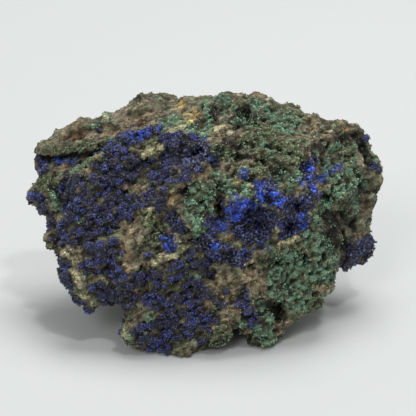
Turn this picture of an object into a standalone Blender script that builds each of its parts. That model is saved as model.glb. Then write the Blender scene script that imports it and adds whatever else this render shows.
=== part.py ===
"""Azurite specimen: a hand-sized lump of brown limonite with crusts of azurite and malachite on it.

The rock is laid out in a leaning frame, in millimetres. u runs to the right along its broken front
face, v runs up that face, and w runs into the rock. The face leans back by LEAN, so leaned() turns a
place in that frame into one in the world, where Z is up and the rock rests on Z = 0.
"""

import math
import random
from dataclasses import dataclass

import bmesh
import bpy
from mathutils import Matrix, Vector, noise
from mathutils.bvhtree import BVHTree

MM = 0.001
LEAN = math.radians(22)  # the front face leans back by this angle
HEART_HEIGHT = 26.0  # mm from the resting face up to u = v = w = 0
COLLECTION = "azurite_specimen"

ROUGH_VOXEL = 1.3  # mm, the grain of the joined blocks
FINE_VOXEL = 0.9  # mm, the grain of the weathered skin
SKIN_FACES = 5700  # triangles left on the skin
LEVEL_WITHIN = 0.15  # mm, skin lower than this belongs to a resting face
SHARPEST_FOLD = math.radians(110)  # faces that turn further than this from each other are eased
CRUST_THICKNESS = 0.9  # mm
CRUST_GAP = 0.42  # mm left between a crust and the rock it grew on
CRUST_CLEARANCE = 2.0  # mm, no crust reaches lower than this
LEAST_GAP = 0.38  # mm, measured to the nearest rock in any direction
SWELL_STEPS = 4
LIFT_ROUNDS = 12
LIFT_STEP = 0.05  # mm
SMALLEST_CRYSTAL = 0.7  # mm2 of crust that a crystal point needs
CRYSTAL_HEIGHTS = (0.35, 0.65)  # height of a crystal point over the root of its base's area
BUBBLE_HEIGHTS = (0.0, 0.7)  # mm
BED_SLOPE = 4.0  # how sharply the rock sinks at a crust's border
BED_MARGIN = 0.4  # how far past the border it begins, on the same scale
BED_DEPTH = 0.6  # share of the crust's thickness by which its bed is sunk


@dataclass(frozen=True)
class Block:
    """A convex lump: a front ring of (u, v, w) corners, and that ring shrunk and moved as its back."""

    front: tuple
    back_w: float
    back_size: float
    back_rise: float = 0.0


@dataclass(frozen=True)
class Stroke:
    """A ridge or a groove on the front face, along (u, v) points. A negative height cuts a groove."""

    path: tuple
    reach: float
    height: float


@dataclass(frozen=True)
class Pit:
    """A bowl worn into the front face at (u, v), with its centre this much proud of the face."""

    at: tuple
    radius: float
    proud: float = 0.0


@dataclass(frozen=True)
class Crust:
    """A mineral crust: the skin inside any of these (u, v, w, ru, rv, rw) ellipsoids."""

    mineral: str
    spots: tuple


BLOCKS = {
    "heart": Block(
        (
            (-30, 18, 4), (-14, 25, 5), (8, 28, 6), (27, 22, 4), (37, 12, 9), (38, -3, 9),
            (26, -16, -1), (8, -24, -4), (-14, -24, -4), (-29, -12, -2), (-35, 2, 3),
        ),
        25, 0.72, 2.0,
    ),
    "back_bulk": Block(
        (
            (-33, 10, 8), (-24, -14, 6), (-11, -23, 6), (10, -24, 6), (26, -13, 6), (36, 2, 10),
            (33, 14, 10), (18, 25, 12), (-2, 28, 12), (-22, 22, 10),
        ),
        27, 0.74, -3.0,
    ),
    "back_boss": Block(
        ((-8, 12, 18), (-14, -4, 18), (-2, -16, 18), (16, -14, 18), (20, 2, 18), (8, 13, 18)),
        30, 0.6, -1.0,
    ),
    "back_slab": Block(
        (
            (-40.6, 16.6, 11), (-40.2, 19.4, 11), (-32.8, 20.8, 10), (-30.2, 24.2, 10), (-24, 26.6, 11),
            (-14.5, 30.2, 11), (-6, 30.2, 11), (-4, 29.2, 11), (3, 28.4, 9), (2, 26, 4), (-10, 22.5, -1), (-24, 18, 2), (-33, 16, 5),
        ),
        22, 0.82,
    ),
    "left_wall": Block(
        ((-39.5, 19, 9), (-40, 11, 9), (-38, 4, 8), (-26, -4, 4), (-18, 8, 2), (-20, 20, 4)),
        20, 0.8,
    ),
    "left_tongue": Block(
        (
            (-43.6, 6.0, 8), (-42.6, 8.6, 8), (-39, 11.4, 6), (-28, 15, -1), (-20, 8, -4),
            (-26, -3, -5), (-36.5, -1.5, 1), (-41.5, 3.6, 6),
        ),
        17, 0.75,
    ),
    "left_cheek": Block(
        ((-38.2, 1.2, 4), (-38.6, -2.4, 4), (-35.6, -6.4, 2), (-28, -8, -5), (-24, 4, -6), (-32, 6, 0)),
        14, 0.75,
    ),
    "front_bulge": Block(
        (
            (-30, 9, -3), (-23, 17, -3), (-9, 23.5, -2), (-1, 22, -4), (2, 12, -9),
            (-4, 0, -10), (-14, -10, -10), (-22, -18, -9), (-31, -17, -6), (-34.2, -9, -3), (-34, -1, -2),
        ),
        10, 0.8,
    ),
    "left_lobe": Block(
        (
            (-33.2, -8, -2), (-32.4, -12, -3), (-30, -16.6, -4), (-27.5, -21.2, -6), (-21, -20.2, -7),
            (-17, -12, -9), (-22, -3, -9), (-31, -4, -6),
        ),
        7, 0.7, 2.0,
    ),
    "front_foot": Block(
        (
            (-18.6, -19, -8), (-18.8, -27, -8), (-13, -28.6, -8), (-8, -31, -8), (-3.5, -31.4, -7.5),
            (2, -29.6, -7), (7, -26.6, -7), (12, -19, -9), (13, -8, -10), (0, -3, -11), (-13, -6, -10),
        ),
        7, 0.8, 2.0,
    ),
    "right_foot": Block(
        (
            (7, -22, -7), (10.5, -28, -5), (14, -31.5, -4), (16.8, -31, -4), (20.2, -23.6, -4),
            (21, -14, -6), (9, -12, -9),
        ),
        5, 0.75,
    ),
    "heel": Block(
        (
            (-13, -20, 7), (-10, -25.6, 9), (10, -25.6, 9), (15, -20, 8), (14, -12, 6), (-12, -12, 6),
        ),
        20, 0.85, 3.4,
    ),
    "moss_shoulder": Block(
        (
            (14, -11, -9), (18.0, -22, -5), (24.2, -22.0, -3), (28.4, -16.2, -1), (34.0, -11.0, 1),
            (34, -2, 0), (25, 4, -8), (13, 0, -10),
        ),
        16, 0.8,
    ),
    "right_end": Block(
        (
            (24, 19, -4), (33, 26.8, 7), (36.8, 25.8, 9), (40.3, 21.6, 11), (43.4, 13.6, 13),
            (43, 2, 14), (41.6, -3, 13), (34, -10, 7), (26, -6, -3), (23, 8, -8),
        ),
        24, 0.8,
    ),
    "end_wedge": Block(
        (
            (34, 0, 8), (42.0, -0.6, 13), (42.4, -3.8, 13), (41.0, -6.6, 12), (38.4, -9.5, 11),
            (36.0, -12.6, 8), (34, -12.2, 6), (30, -8, 3),
        ),
        20, 0.7, 2.0,
    ),
    "crown": Block(
        (
            (-4, 28.8, 10), (3.2, 28.8, 11), (5.6, 32.0, 11), (12, 32.2, 12), (17.2, 31.2, 12),
            (23.6, 27.6, 11), (28.6, 26.6, 9),
            (25, 16, -5), (14, 8, -9), (2, 12, -9), (-4, 20, -4),
        ),
        23, 0.75,
    ),
    "hollow_wall": Block(
        ((-4, 11, -8), (14, 10, -10), (24, 17, -9), (25, 4, -9), (19, -5, -10), (8, -8, -10), (-6, -5, -9)),
        4, 0.9,
    ),
}

KNOBS = (  # (u, v, w, radius) of the small lumps that stand out on the skyline and the rim
    (-23.8, 27.2, 10, 1.9),
    (5.6, 31.2, 11, 2.2),
    (14.5, 31.0, 12, 2.2),
    (29.6, 25.6, 8, 2.2),
    (33.2, 25.8, 9, 3.2),
    (35.4, 25.8, 9, 3.3),
    (38.8, 24.8, 10, 2.6),
    (42.4, 13.2, 13, 2.9),
    (-41.6, 6.8, 8, 2.9),
    (-12.5, 29.6, 11, 2.0),
    (40.4, 21.0, 11, 2.8),
    (-37.6, -1.6, 4, 2.3),
    (-32.6, -10.5, -2, 2.4),
    (-28.0, -20.2, -5, 2.2),
    (-21.6, -19.4, -6, 1.8),
    (41.0, 7.0, 12, 3.0),
)

STROKES = (
    Stroke(((-40, 16.6), (-35.4, 16.1), (-29.4, 16.6), (-24.6, 18.3), (-21.7, 20.2)), 1.8, -4.2),  # under slab
    Stroke(((-38.5, 18.3), (-34.2, 18.7), (-28.2, 19.4), (-23.8, 20.8)), 1.8, 1.6),  # lip of the slab
    Stroke(((-37.8, 13), (-31.8, 14.2), (-25.8, 15.7)), 1.5, 1.2),
    Stroke(((-32.7, 10.8), (-32.7, 6), (-34.2, 1.7), (-37.1, 1.2)), 1.6, -2.0),  # behind the tongue
    Stroke(((-25.8, 14.2), (-22.2, 17.6), (-17.3, 20.4), (-12, 22.2)), 1.9, 1.8),  # upper azurite ridge
    Stroke(((-15.9, 16.6), (-12.5, 18.3), (-7, 20)), 1.3, 1.8),  # pale ledge
    Stroke(((-14.9, 14.2), (-10.1, 15.9), (-5.3, 17.8)), 1.4, -1.8),
    Stroke(((-12.5, 6), (-6.5, 9.6), (-0.5, 14), (3.1, 18)), 2.4, 1.9),  # brown crest
    Stroke(((-18.5, -8.9), (-14.9, -2.4), (-12.5, 3.1)), 2.5, 1.1),
    Stroke(((-15.9, -9.6), (-15.4, -4.8), (-13.2, 0), (-12.8, 3.6)), 1.2, 1.0),
    Stroke(((-12.5, -8.9), (-9.4, -9.4), (-6.7, -7.7)), 1.5, 1.5),  # cream lump
    Stroke(((-20, -19.3), (-21.7, -15.2), (-22.6, -10.8)), 1.7, -2.6),  # crease above the notch
    Stroke(((-32.7, -5.3), (-30.3, -9.6), (-28.9, -14.4), (-25.8, -18.8)), 1.4, 1.3),
    Stroke(((-34.7, -5.1), (-30.6, -4.3), (-26.5, -3.6)), 1.4, -1.5),
    Stroke(((18.1, 4.8), (18.5, 0), (17.8, -3.1)), 1.3, 1.2),  # wall between the two hollows
    Stroke(((6.7, 4.8), (10.4, 7), (14.4, 8.4), (17.6, 7.2)), 1.5, 1.3),
    Stroke(((11.6, -8.9), (16.9, -6), (23.6, -2.6)), 1.4, 1.8),  # lip under the hollows
    Stroke(((26.5, 20.5), (26.7, 14.4), (26.5, 6), (26, 0)), 1.7, 1.5),  # corner of the right face
    Stroke(((30.8, 18), (32, 12), (30.3, 6), (29.6, 0)), 2.6, -2.4),
    Stroke(((35.6, 20.5), (37.3, 14.4), (35.6, 9.6), (32, 6.7)), 1.4, 1.4),  # curved rib
    Stroke(((39.2, 18), (39.5, 8.4), (38.5, -1.2)), 1.6, -1.4),
    Stroke(((31.3, -2.4), (32.5, -7.2), (32, -12)), 1.5, -1.4),
    Stroke(((14.4, -18), (10.4, -21), (8, -23.4), (7.6, -28)), 1.6, -2.2),  # arch between the feet
    Stroke(((15.2, -8.9), (15.9, -15.7)), 1.3, -1.2),
    Stroke(((0.7, 25.3), (2.4, 28.9), (5.5, 30.8)), 1.6, 1.5),
    Stroke(((8, 24), (14, 24.8), (20, 23.4)), 1.7, -1.3),
    Stroke(((4.8, 21.7), (10.4, 20.5), (17.6, 18.5), (24.8, 16.1)), 1.8, 1.3),  # edge of the crown
    Stroke(((4.8, 8.4), (4.3, 4.8), (3.4, 2.4)), 1.6, -1.8),  # cleft beside the malachite
    Stroke(((-38, 22), (-30, 21.4), (-20, 25), (-12, 27)), 1.5, -1.2),  # beds on top of the slab
    Stroke(((-30, 24.4), (-22, 24), (-12, 29.4)), 1.3, -0.9),
)

PITS = (
    Pit((12.8, 0), 5.4, 1.8),  # the dark hollow lined with azurite
    Pit((21.2, 0.7), 3.0, 0.7),
    Pit((23.1, 5.2), 2.2, 0.5),
    Pit((5.5, -7.2), 2.4, 0.6),
    Pit((18.0, -20.7), 2.7, 0.2),  # cave beside the right foot
    Pit((11.6, 27.2), 3.0, 0.6),
    Pit((7.0, 27.4), 2.0, 0.4),
    Pit((-2.2, 17.6), 2.7, 0.9),
    Pit((-6.6, 0.0), 2.8, 1.5),
    Pit((-8.2, -4.8), 2.0, 0.6),
    Pit((30.1, 7.2), 2.6, 0.5),
    Pit((-24.0, -13.5), 2.4, 0.9),
    Pit((-29.0, -1.0), 2.2, 0.9),
)
ARCHES = ((0, -5, 8.5, 3.4), (7, 2, 7.5, 2.4), (-8, -1, 7.5, 2.4), (2, 6, 6, 1.4))  # x, y, radius, rise
LOOSE_PITS = 60  # pits scattered over the sides and the back
LOOSE_PITS_BEHIND = 4.0  # mm, they all lie deeper than this w
LOOSE_PIT_RADII = (1.8, 3.8)
LOOSE_PIT_PROUD = 0.35  # share of its radius by which a loose pit's centre stands out
BACK_DEPTH = 14.0  # mm, the w by which the skin has its full back roughness
BACK_ROUGHNESS = 0.8
BULGES = (16.0, 1.9)  # size and height in mm of the widest lumps of the skin
LUMPS = (6.5, 1.1)
CRUMBS = (3.2, 0.8)
BEDS = (7.5, 1.5)  # thickness of a bed and depth of its ledge, in mm

CRUSTS = {
    "azurite_crust_left": Crust("azurite", (
        (-19, 18.5, -3, 9, 4.5, 9), (-9, 17, -5, 8, 5, 8), (-23, 8, -8, 11, 10, 9), (-11, 10.5, -8, 7, 3.5, 8),
        (-25, -6, -8, 9, 10, 9), (-22, -13, -8, 7, 6, 8), (-30.5, -12, -5, 5, 7, 9),
    )),
    "azurite_crust_hollow": Crust("azurite", (
        (12.5, 1.5, -6, 9.5, 8, 9), (21, 3, -7, 6.5, 8, 8), (25, 11, -7, 3, 6, 7), (5, -6.5, -9, 5, 4, 7),
    )),
    "azurite_crust_foot": Crust("azurite", (
        (-10, -22, -8, 9.5, 7, 8), (-5, -14, -9, 10, 6, 8), (4, -19, -8, 7, 6, 7),
    )),
    "azurite_crust_end": Crust("azurite", ((37.5, -5, 10, 6, 4.5, 8),)),
    "azurite_crust_back": Crust("azurite", ((-6, 6, 27, 13, 9, 8), (6, 0, 29, 8, 7, 8))),
    "malachite_crust_crown": Crust("malachite", (
        (15, 25, 5, 11, 6, 12), (14, 15, -6, 10, 5.5, 9), (22, 20, 0, 6, 6, 9),
    )),
    "malachite_crust_shoulder": Crust("malachite", (
        (22.5, -10, -6, 9.5, 10, 10), (29, -9, -2, 6, 9, 10), (25, -16, -3, 7, 8, 9),
    )),
    "malachite_crust_centre": Crust("malachite", ((-1, 4.5, -9, 5.6, 7.5, 8),)),
    "malachite_crust_flank": Crust("malachite", ((32, 12, 1, 5.5, 8, 8),)),
    "malachite_crust_back": Crust("malachite", ((20, 2, 26, 9, 8, 8), (-22, 10, 22, 7, 7, 8))),
}

COLOURS = {  # base colour, roughness
    "limonite": ((0.105, 0.080, 0.052, 1.0), 0.85),
    "azurite": ((0.022, 0.034, 0.20, 1.0), 0.35),
    "malachite": ((0.085, 0.20, 0.135, 1.0), 0.75),
}


def leaned(u, v, w):
    """The world place, in mm, of a place in the leaning frame."""
    return Vector((
        u,
        w * math.cos(LEAN) + v * math.sin(LEAN),
        HEART_HEIGHT + v * math.cos(LEAN) - w * math.sin(LEAN),
    ))


def upright(place):
    """The (u, v, w) of a world place in mm."""
    rise = place.z - HEART_HEIGHT
    return Vector((
        place.x,
        place.y * math.sin(LEAN) + rise * math.cos(LEAN),
        place.y * math.cos(LEAN) - rise * math.sin(LEAN),
    ))


def clear_scene():
    """Removes whatever the file holds."""
    for obj in list(bpy.data.objects):
        bpy.data.objects.remove(obj)


def block_hull(block):
    """A convex hull round the front ring and its shrunken copy at the back."""
    middle = sum((Vector(corner) for corner in block.front), Vector()) / len(block.front)
    bm = bmesh.new()
    for u, v, w in block.front:
        bm.verts.new(leaned(u, v, w))
        back_u = middle.x + (u - middle.x) * block.back_size
        back_v = middle.y + (v - middle.y) * block.back_size + block.back_rise
        bm.verts.new(leaned(back_u, back_v, block.back_w))
    hull = bmesh.ops.convex_hull(bm, input=bm.verts)
    bmesh.ops.delete(bm, geom=hull["geom_interior"], context="VERTS")
    mesh = bpy.data.meshes.new("block")
    bm.to_mesh(mesh)
    bm.free()
    return mesh


def joined_blocks():
    """All blocks and knobs in one mesh, still overlapping."""
    bm = bmesh.new()
    for block in BLOCKS.values():
        mesh = block_hull(block)
        bm.from_mesh(mesh)
        bpy.data.meshes.remove(mesh)
    for u, v, w, radius in KNOBS:
        place = Matrix.Translation(leaned(u, v, w))
        bmesh.ops.create_icosphere(bm, subdivisions=2, radius=radius, matrix=place)
    mesh = bpy.data.meshes.new("joined_blocks")
    bm.to_mesh(mesh)
    bm.free()
    return mesh


def with_modifier(mesh, kind, **settings):
    """The mesh that a modifier makes from this one."""
    obj = bpy.data.objects.new("workpiece", mesh)
    bpy.context.scene.collection.objects.link(obj)
    modifier = obj.modifiers.new(kind.lower(), kind)
    for name, value in settings.items():
        setattr(modifier, name, value)
    bpy.context.view_layer.update()
    graph = bpy.context.evaluated_depsgraph_get()
    made = bpy.data.meshes.new_from_object(obj.evaluated_get(graph))
    bpy.data.objects.remove(obj)
    bpy.data.meshes.remove(mesh)
    return made


def fused(mesh, voxel):
    """One closed skin round everything in the mesh."""
    return with_modifier(mesh, "REMESH", mode="VOXEL", voxel_size=voxel)


def reshaped(mesh, *steps):
    """The mesh after each step has moved its vertices."""
    bm = bmesh.new()
    bm.from_mesh(mesh)
    for step in steps:
        bm.normal_update()
        step(bm)
    bm.to_mesh(mesh)
    bm.free()
    return mesh


def soften(rounds):
    """A step that takes the sharpness off, evening out the vertices this many times."""
    def step(bm):
        for _ in range(rounds):
            bmesh.ops.smooth_vert(
                bm, verts=bm.verts, factor=0.5, use_axis_x=True, use_axis_y=True, use_axis_z=True
            )
    return step


def weather(size, depth, seed):
    """A step that roughens the skin with lumps about this size and this deep, in mm, more so behind."""
    offset = Vector((seed * 17.3, seed * 5.1, seed * 9.7))

    def step(bm):
        for vert in bm.verts:
            behind = max(0.0, min(1.0, upright(vert.co).z / BACK_DEPTH))
            lumps = noise.fractal(vert.co / size + offset, 0.9, 2.1, 3)
            vert.co += vert.normal * (lumps * depth * (1 + BACK_ROUGHNESS * behind))
    return step


def lay_strata(thickness, depth):
    """A step that breaks the skin into ledges along slanting beds of this thickness."""
    across_beds = leaned(-0.42, 0.87, 0.25) - leaned(0, 0, 0)

    def step(bm):
        for vert in bm.verts:
            wander = noise.noise(vert.co / 13.0) * 1.1
            bed = vert.co.dot(across_beds) / thickness + wander
            ledge = bed - math.floor(bed)
            strength = 0.5 + 0.5 * noise.noise(vert.co / 9.0 + Vector((31, 7, 3)))
            vert.co += vert.normal * ((0.75 - ledge) * depth * strength)
    return step


def front_of(tree, u, v):
    """Where the front face is at (u, v)."""
    hit = tree.ray_cast(leaned(u, v, -80), (leaned(0, 0, 1) - leaned(0, 0, 0)))[0]
    return hit or leaned(u, v, 0)


def nearest_on(path, place):
    """The distance from a place to a path of points."""
    nearest = math.inf
    for start, end in zip(path, path[1:]):
        along = end - start
        share = max(0.0, min(1.0, (place - start).dot(along) / along.length_squared))
        nearest = min(nearest, (place - start - along * share).length)
    return nearest


def cut_strokes(bm):
    """Raises the ridges and cuts the grooves of the front face."""
    tree = BVHTree.FromBMesh(bm)
    for stroke in STROKES:
        path = [front_of(tree, u, v) for u, v in stroke.path]
        for vert in bm.verts:
            away = nearest_on(path, vert.co) / stroke.reach
            if away < 2.5:
                vert.co += vert.normal * (stroke.height * math.exp(-away * away))


def hollow_out(bm, centre, radius):
    """Presses a bowl into the skin round this centre."""
    for vert in bm.verts:
        away = vert.co - centre
        if 0 < away.length < radius:
            vert.co = centre + away.normalized() * radius


def cut_pits(bm):
    """Sinks the bowls of the front face, the arches between the feet, and the loose pits behind."""
    tree = BVHTree.FromBMesh(bm)
    towards_front = leaned(0, 0, -1) - leaned(0, 0, 0)
    for pit in PITS:
        hollow_out(bm, front_of(tree, *pit.at) + towards_front * pit.proud, pit.radius)
    chance = random.Random(7)
    behind = [vert for vert in bm.verts if upright(vert.co).z > LOOSE_PITS_BEHIND]
    for x, y, radius, rise in ARCHES:
        hollow_out(bm, Vector((x, y, rise - radius)), radius)
    for _ in range(LOOSE_PITS):
        vert = chance.choice(behind)
        radius = chance.uniform(*LOOSE_PIT_RADII)
        hollow_out(bm, vert.co + vert.normal * radius * LOOSE_PIT_PROUD, radius)


def sink_beds(bm):
    """Lowers the rock under each crust, so that the crusts end up nearly level with it."""
    for vert in bm.verts:
        inside = max(coverage(crust, upright(vert.co)) for crust in CRUSTS.values())
        share = max(0.0, min(1.0, inside * BED_SLOPE + BED_MARGIN))
        vert.co -= vert.normal * share * (CRUST_GAP + CRUST_THICKNESS * BED_DEPTH)


def unfold(bm):
    """Eases out the places where two faces fold back on each other."""
    for _ in range(6):
        bm.normal_update()
        folds = [edge for edge in bm.edges if edge.is_manifold and edge.calc_face_angle() > SHARPEST_FOLD]
        creased = list({vert for edge in folds for vert in edge.verts if vert.co.z > 0.1})
        bmesh.ops.smooth_vert(
            bm, verts=creased, factor=0.5, use_axis_x=True, use_axis_y=True, use_axis_z=True
        )


def flatten_feet(bm):
    """Cuts the rock off at Z = 0 and closes it, which leaves flat resting faces under its feet."""
    everything = bm.verts[:] + bm.edges[:] + bm.faces[:]
    cut = bmesh.ops.bisect_plane(bm, geom=everything, plane_no=(0, 0, 1), clear_inner=True, dist=1e-4)
    rim = [edge for edge in cut["geom_cut"] if isinstance(edge, bmesh.types.BMEdge)]
    bmesh.ops.holes_fill(bm, edges=rim)
    bmesh.ops.triangulate(bm, faces=bm.faces)


def level_feet(bm):
    """Puts the resting faces back on Z = 0 exactly."""
    for vert in bm.verts:
        if vert.co.z < LEVEL_WITHIN:
            vert.co.z = 0.0


def make_skin():
    """The whole outside of the rock, as one closed mesh of about SKIN_FACES triangles."""
    mesh = fused(joined_blocks(), ROUGH_VOXEL)
    reshaped(mesh, soften(3), weather(*BULGES, 1), lay_strata(*BEDS), weather(*LUMPS, 2))
    mesh = fused(mesh, FINE_VOXEL)
    reshaped(mesh, cut_strokes, cut_pits, sink_beds, weather(*CRUMBS, 3), soften(1))
    mesh = fused(mesh, FINE_VOXEL)
    reshaped(mesh, flatten_feet)
    ratio = SKIN_FACES / len(mesh.polygons)
    mesh = with_modifier(mesh, "DECIMATE", ratio=ratio, use_collapse_triangulate=True)
    return reshaped(mesh, unfold, level_feet)


def swell(bm, height):
    """Moves every vertex this far out of the skin, evening the spacing out on the way."""
    for _ in range(SWELL_STEPS):
        bm.normal_update()
        moves = []
        for vert in bm.verts:
            around = [edge.other_vert(vert).co for edge in vert.link_edges]
            evening = (sum(around, Vector()) / len(around) - vert.co) * 0.3
            inward = min(0.0, evening.dot(vert.normal))
            moves.append(evening + vert.normal * (height / SWELL_STEPS - inward))
        for vert, move in zip(bm.verts, moves):
            vert.co += move


def mark_heights(bm):
    """Stores on each vertex the places above it where the back and the face of a crust lie."""
    swollen = bm.copy()
    for name, height in (("back", CRUST_GAP), ("front", CRUST_THICKNESS)):
        swell(swollen, height)
        layer = bm.verts.layers.float_vector.new(name)
        for vert, above in zip(bm.verts, swollen.verts):
            vert[layer] = above.co
    swollen.free()


def coverage(crust, place):
    """How far inside the crust's spots a place of the leaning frame is. Negative is outside."""
    most = -math.inf
    for u, v, w, reach_u, reach_v, reach_w in crust.spots:
        away = Vector(((place.x - u) / reach_u, (place.y - v) / reach_v, (place.z - w) / reach_w))
        most = max(most, 1 - away.length)
    return most


def spread_crusts(bm):
    """Marks each face with the number of the crust that covers it, or 0 for bare rock."""
    layer = bm.faces.layers.int.new("crust")
    for face in bm.faces:
        middle = face.calc_center_median()
        ragged = noise.noise(middle / 4.5) * 0.16
        best = 0.0
        for number, crust in enumerate(CRUSTS.values(), 1):
            inside = coverage(crust, upright(middle)) + ragged
            if inside > best and min(vert.co.z for vert in face.verts) > CRUST_CLEARANCE:
                best = inside
                face[layer] = number
    for _ in range(4):
        tidy_borders(bm, layer)
    for number in range(1, len(CRUSTS) + 1):
        keep_largest(bm, layer, number)
    fill_windows(bm, layer)
    return layer


def tidy_borders(bm, layer):
    """Takes the teeth off the borders, and leaves bare rock between two crusts that meet."""
    wanted = {}
    for face in bm.faces:
        beside = [near[layer] for edge in face.edges for near in edge.link_faces if near is not face]
        common = max(set(beside), key=beside.count)
        if common != face[layer] and beside.count(common) > 1:
            wanted[face] = common
    for face, number in wanted.items():
        face[layer] = number
    for vert in bm.verts:
        numbers = {face[layer] for face in vert.link_faces}
        border = [edge for edge in vert.link_edges if len({face[layer] for face in edge.link_faces}) > 1]
        if len(numbers - {0}) > 1 or len(border) > 2:
            for face in vert.link_faces:
                face[layer] = 0


def connected(faces, layer):
    """The faces sorted into connected patches of one number each."""
    waiting = set(faces)
    patches = []
    while waiting:
        start = waiting.pop()
        patch = [start]
        for face in patch:
            for edge in face.edges:
                for near in edge.link_faces:
                    if near in waiting and near[layer] == start[layer]:
                        waiting.remove(near)
                        patch.append(near)
        patches.append(patch)
    return patches


def keep_largest(bm, layer, number):
    """Bares the rock under all but the largest patch of a crust."""
    patches = connected([face for face in bm.faces if face[layer] == number], layer)
    for patch in sorted(patches, key=len)[:-1]:
        for face in patch:
            face[layer] = 0


def fill_windows(bm, layer):
    """Covers the bare windows inside a crust, so that every crust is one unbroken sheet."""
    windows = connected([face for face in bm.faces if face[layer] == 0], layer)
    for window in sorted(windows, key=len)[:-1]:
        around = [near[layer] for face in window for edge in face.edges for near in edge.link_faces]
        number = max(around)
        for face in window:
            face[layer] = number


def straighten_borders(bm, layer):
    """Evens out the corners along the crusts' borders."""
    places = {}
    for vert in bm.verts:
        border = [edge for edge in vert.link_edges if len({face[layer] for face in edge.link_faces}) > 1]
        if len(border) == 2:
            ends = border[0].other_vert(vert).co + border[1].other_vert(vert).co
            shift = (ends / 2 - vert.co) * 0.5
            places[vert] = vert.co + shift - vert.normal * shift.dot(vert.normal)
    for vert, place in places.items():
        vert.co = place
    bm.normal_update()


def grow_crystals(bm, faces, seed):
    """Raises flat-faced crystal points from every face that has no other point beside it."""
    chance = random.Random(seed)
    taken = set()
    points = []
    for face in sorted(faces, key=lambda face: -face.calc_area()):
        beside = {near for edge in face.edges for near in edge.link_faces}
        if face.calc_area() > SMALLEST_CRYSTAL and not beside & taken:
            taken.add(face)
            points.append(face)
    for face in points:
        height = math.sqrt(face.calc_area()) * chance.uniform(*CRYSTAL_HEIGHTS)
        bmesh.ops.poke(bm, faces=[face], offset=height)


def grow_bubbles(verts, seed):
    """Swells the crust at scattered vertices into low rounded bumps."""
    chance = random.Random(seed)
    for vert in verts:
        vert.co += vert.normal * chance.uniform(*BUBBLE_HEIGHTS)


def make_sheet(skin, number):
    """A crust's bare sheet, lifted clear of the rock, and the faces of its outside."""
    bm = skin.copy()
    marks = bm.faces.layers.int["crust"]
    back = bm.verts.layers.float_vector["back"]
    front = bm.verts.layers.float_vector["front"]
    bare = [face for face in bm.faces if face[marks] != number]
    bmesh.ops.delete(bm, geom=bare, context="FACES")
    outside = bm.faces[:]
    backing = bmesh.ops.extrude_face_region(bm, geom=outside, use_keep_orig=True)
    behind = {vert for vert in backing["geom"] if isinstance(vert, bmesh.types.BMVert)}
    for vert in bm.verts:
        vert.co = vert[back] if vert in behind else vert[front]
    bmesh.ops.recalc_face_normals(bm, faces=bm.faces)
    return bm, outside


def lift_clear(sheet, rock):
    """Lifts a sheet off the rock wherever a corner, edge or face of it comes nearer than LEAST_GAP."""
    back = sheet.verts.layers.float_vector["back"]
    front = sheet.verts.layers.float_vector["front"]
    tree = BVHTree.FromBMesh(rock)
    samples = [(vert,) for vert in sheet.verts]
    samples += [tuple(edge.verts) for edge in sheet.edges]
    samples += [tuple(face.verts) for face in sheet.faces]
    for _ in range(LIFT_ROUNDS):
        near = set()
        for verts in samples:
            middle = sum((vert.co for vert in verts), Vector()) / len(verts)
            spot, normal, _, away = tree.find_nearest(middle)
            if away < LEAST_GAP or (middle - spot).dot(normal) < 0:
                near.update(verts)
        for vert in near:
            vert.co += (vert[front] - vert[back]).normalized() * LIFT_STEP


def grow_minerals(bm, outside, mineral, seed):
    """Gives a sheet the crystal points of azurite or the low bumps of malachite."""
    bm.normal_update()
    if mineral == "azurite":
        grow_crystals(bm, outside, seed)
        return
    rim = {vert for edge in bm.edges for vert in edge.verts if is_rim(edge, set(outside))}
    inner = {vert for face in outside for vert in face.verts} - rim
    grow_bubbles(sorted(inner, key=lambda vert: vert.index), seed)


def is_rim(edge, outside):
    """Whether an edge parts the outside of a sheet from its side."""
    return sum(face in outside for face in edge.link_faces) == 1


def make_material(name, mineral):
    """A plain material in the mineral's colour, named for the node that wears it."""
    colour, roughness = COLOURS[mineral]
    material = bpy.data.materials.new(name)
    material.use_nodes = True
    shader = material.node_tree.nodes["Principled BSDF"]
    shader.inputs["Base Color"].default_value = colour
    shader.inputs["Roughness"].default_value = roughness
    shader.inputs["Metallic"].default_value = 0.0
    material.diffuse_color = colour
    return material


def add_node(parts, name, bm, mineral, to_origin):
    """Turns a finished bmesh in mm into a named object in metres."""
    bmesh.ops.triangulate(bm, faces=bm.faces)
    mesh = bpy.data.meshes.new(name)
    bm.to_mesh(mesh)
    bm.free()
    for layer in list(mesh.attributes):
        if layer.name in ("crust", "back", "front"):
            mesh.attributes.remove(layer)
    mesh.transform(Matrix.Scale(MM, 4) @ Matrix.Translation(to_origin))
    mesh.materials.append(make_material(name, mineral))
    obj = bpy.data.objects.new(name, mesh)
    parts.objects.link(obj)


def centring(solids):
    """The move that puts the middle of the whole specimen's footprint over the origin."""
    xs = [vert.co.x for bm in solids for vert in bm.verts]
    ys = [vert.co.y for bm in solids for vert in bm.verts]
    return Vector((-(min(xs) + max(xs)) / 2, -(min(ys) + max(ys)) / 2, 0))


def main():
    """Makes the rock, spreads the crusts over it, and places them all round the origin."""
    clear_scene()
    parts = bpy.data.collections.new(COLLECTION)
    bpy.context.scene.collection.children.link(parts)
    skin = bmesh.new()
    skin.from_mesh(make_skin())
    marks = spread_crusts(skin)
    straighten_borders(skin, marks)
    mark_heights(skin)
    solids = {"limonite_matrix": (skin, "limonite")}
    for number, (name, crust) in enumerate(CRUSTS.items(), 1):
        sheet, outside = make_sheet(skin, number)
        lift_clear(sheet, skin)
        grow_minerals(sheet, outside, crust.mineral, number)
        solids[name] = (sheet, crust.mineral)
    to_origin = centring([bm for bm, _ in solids.values()])
    for name, (bm, mineral) in solids.items():
        add_node(parts, name, bm, mineral, to_origin)


main()
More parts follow.
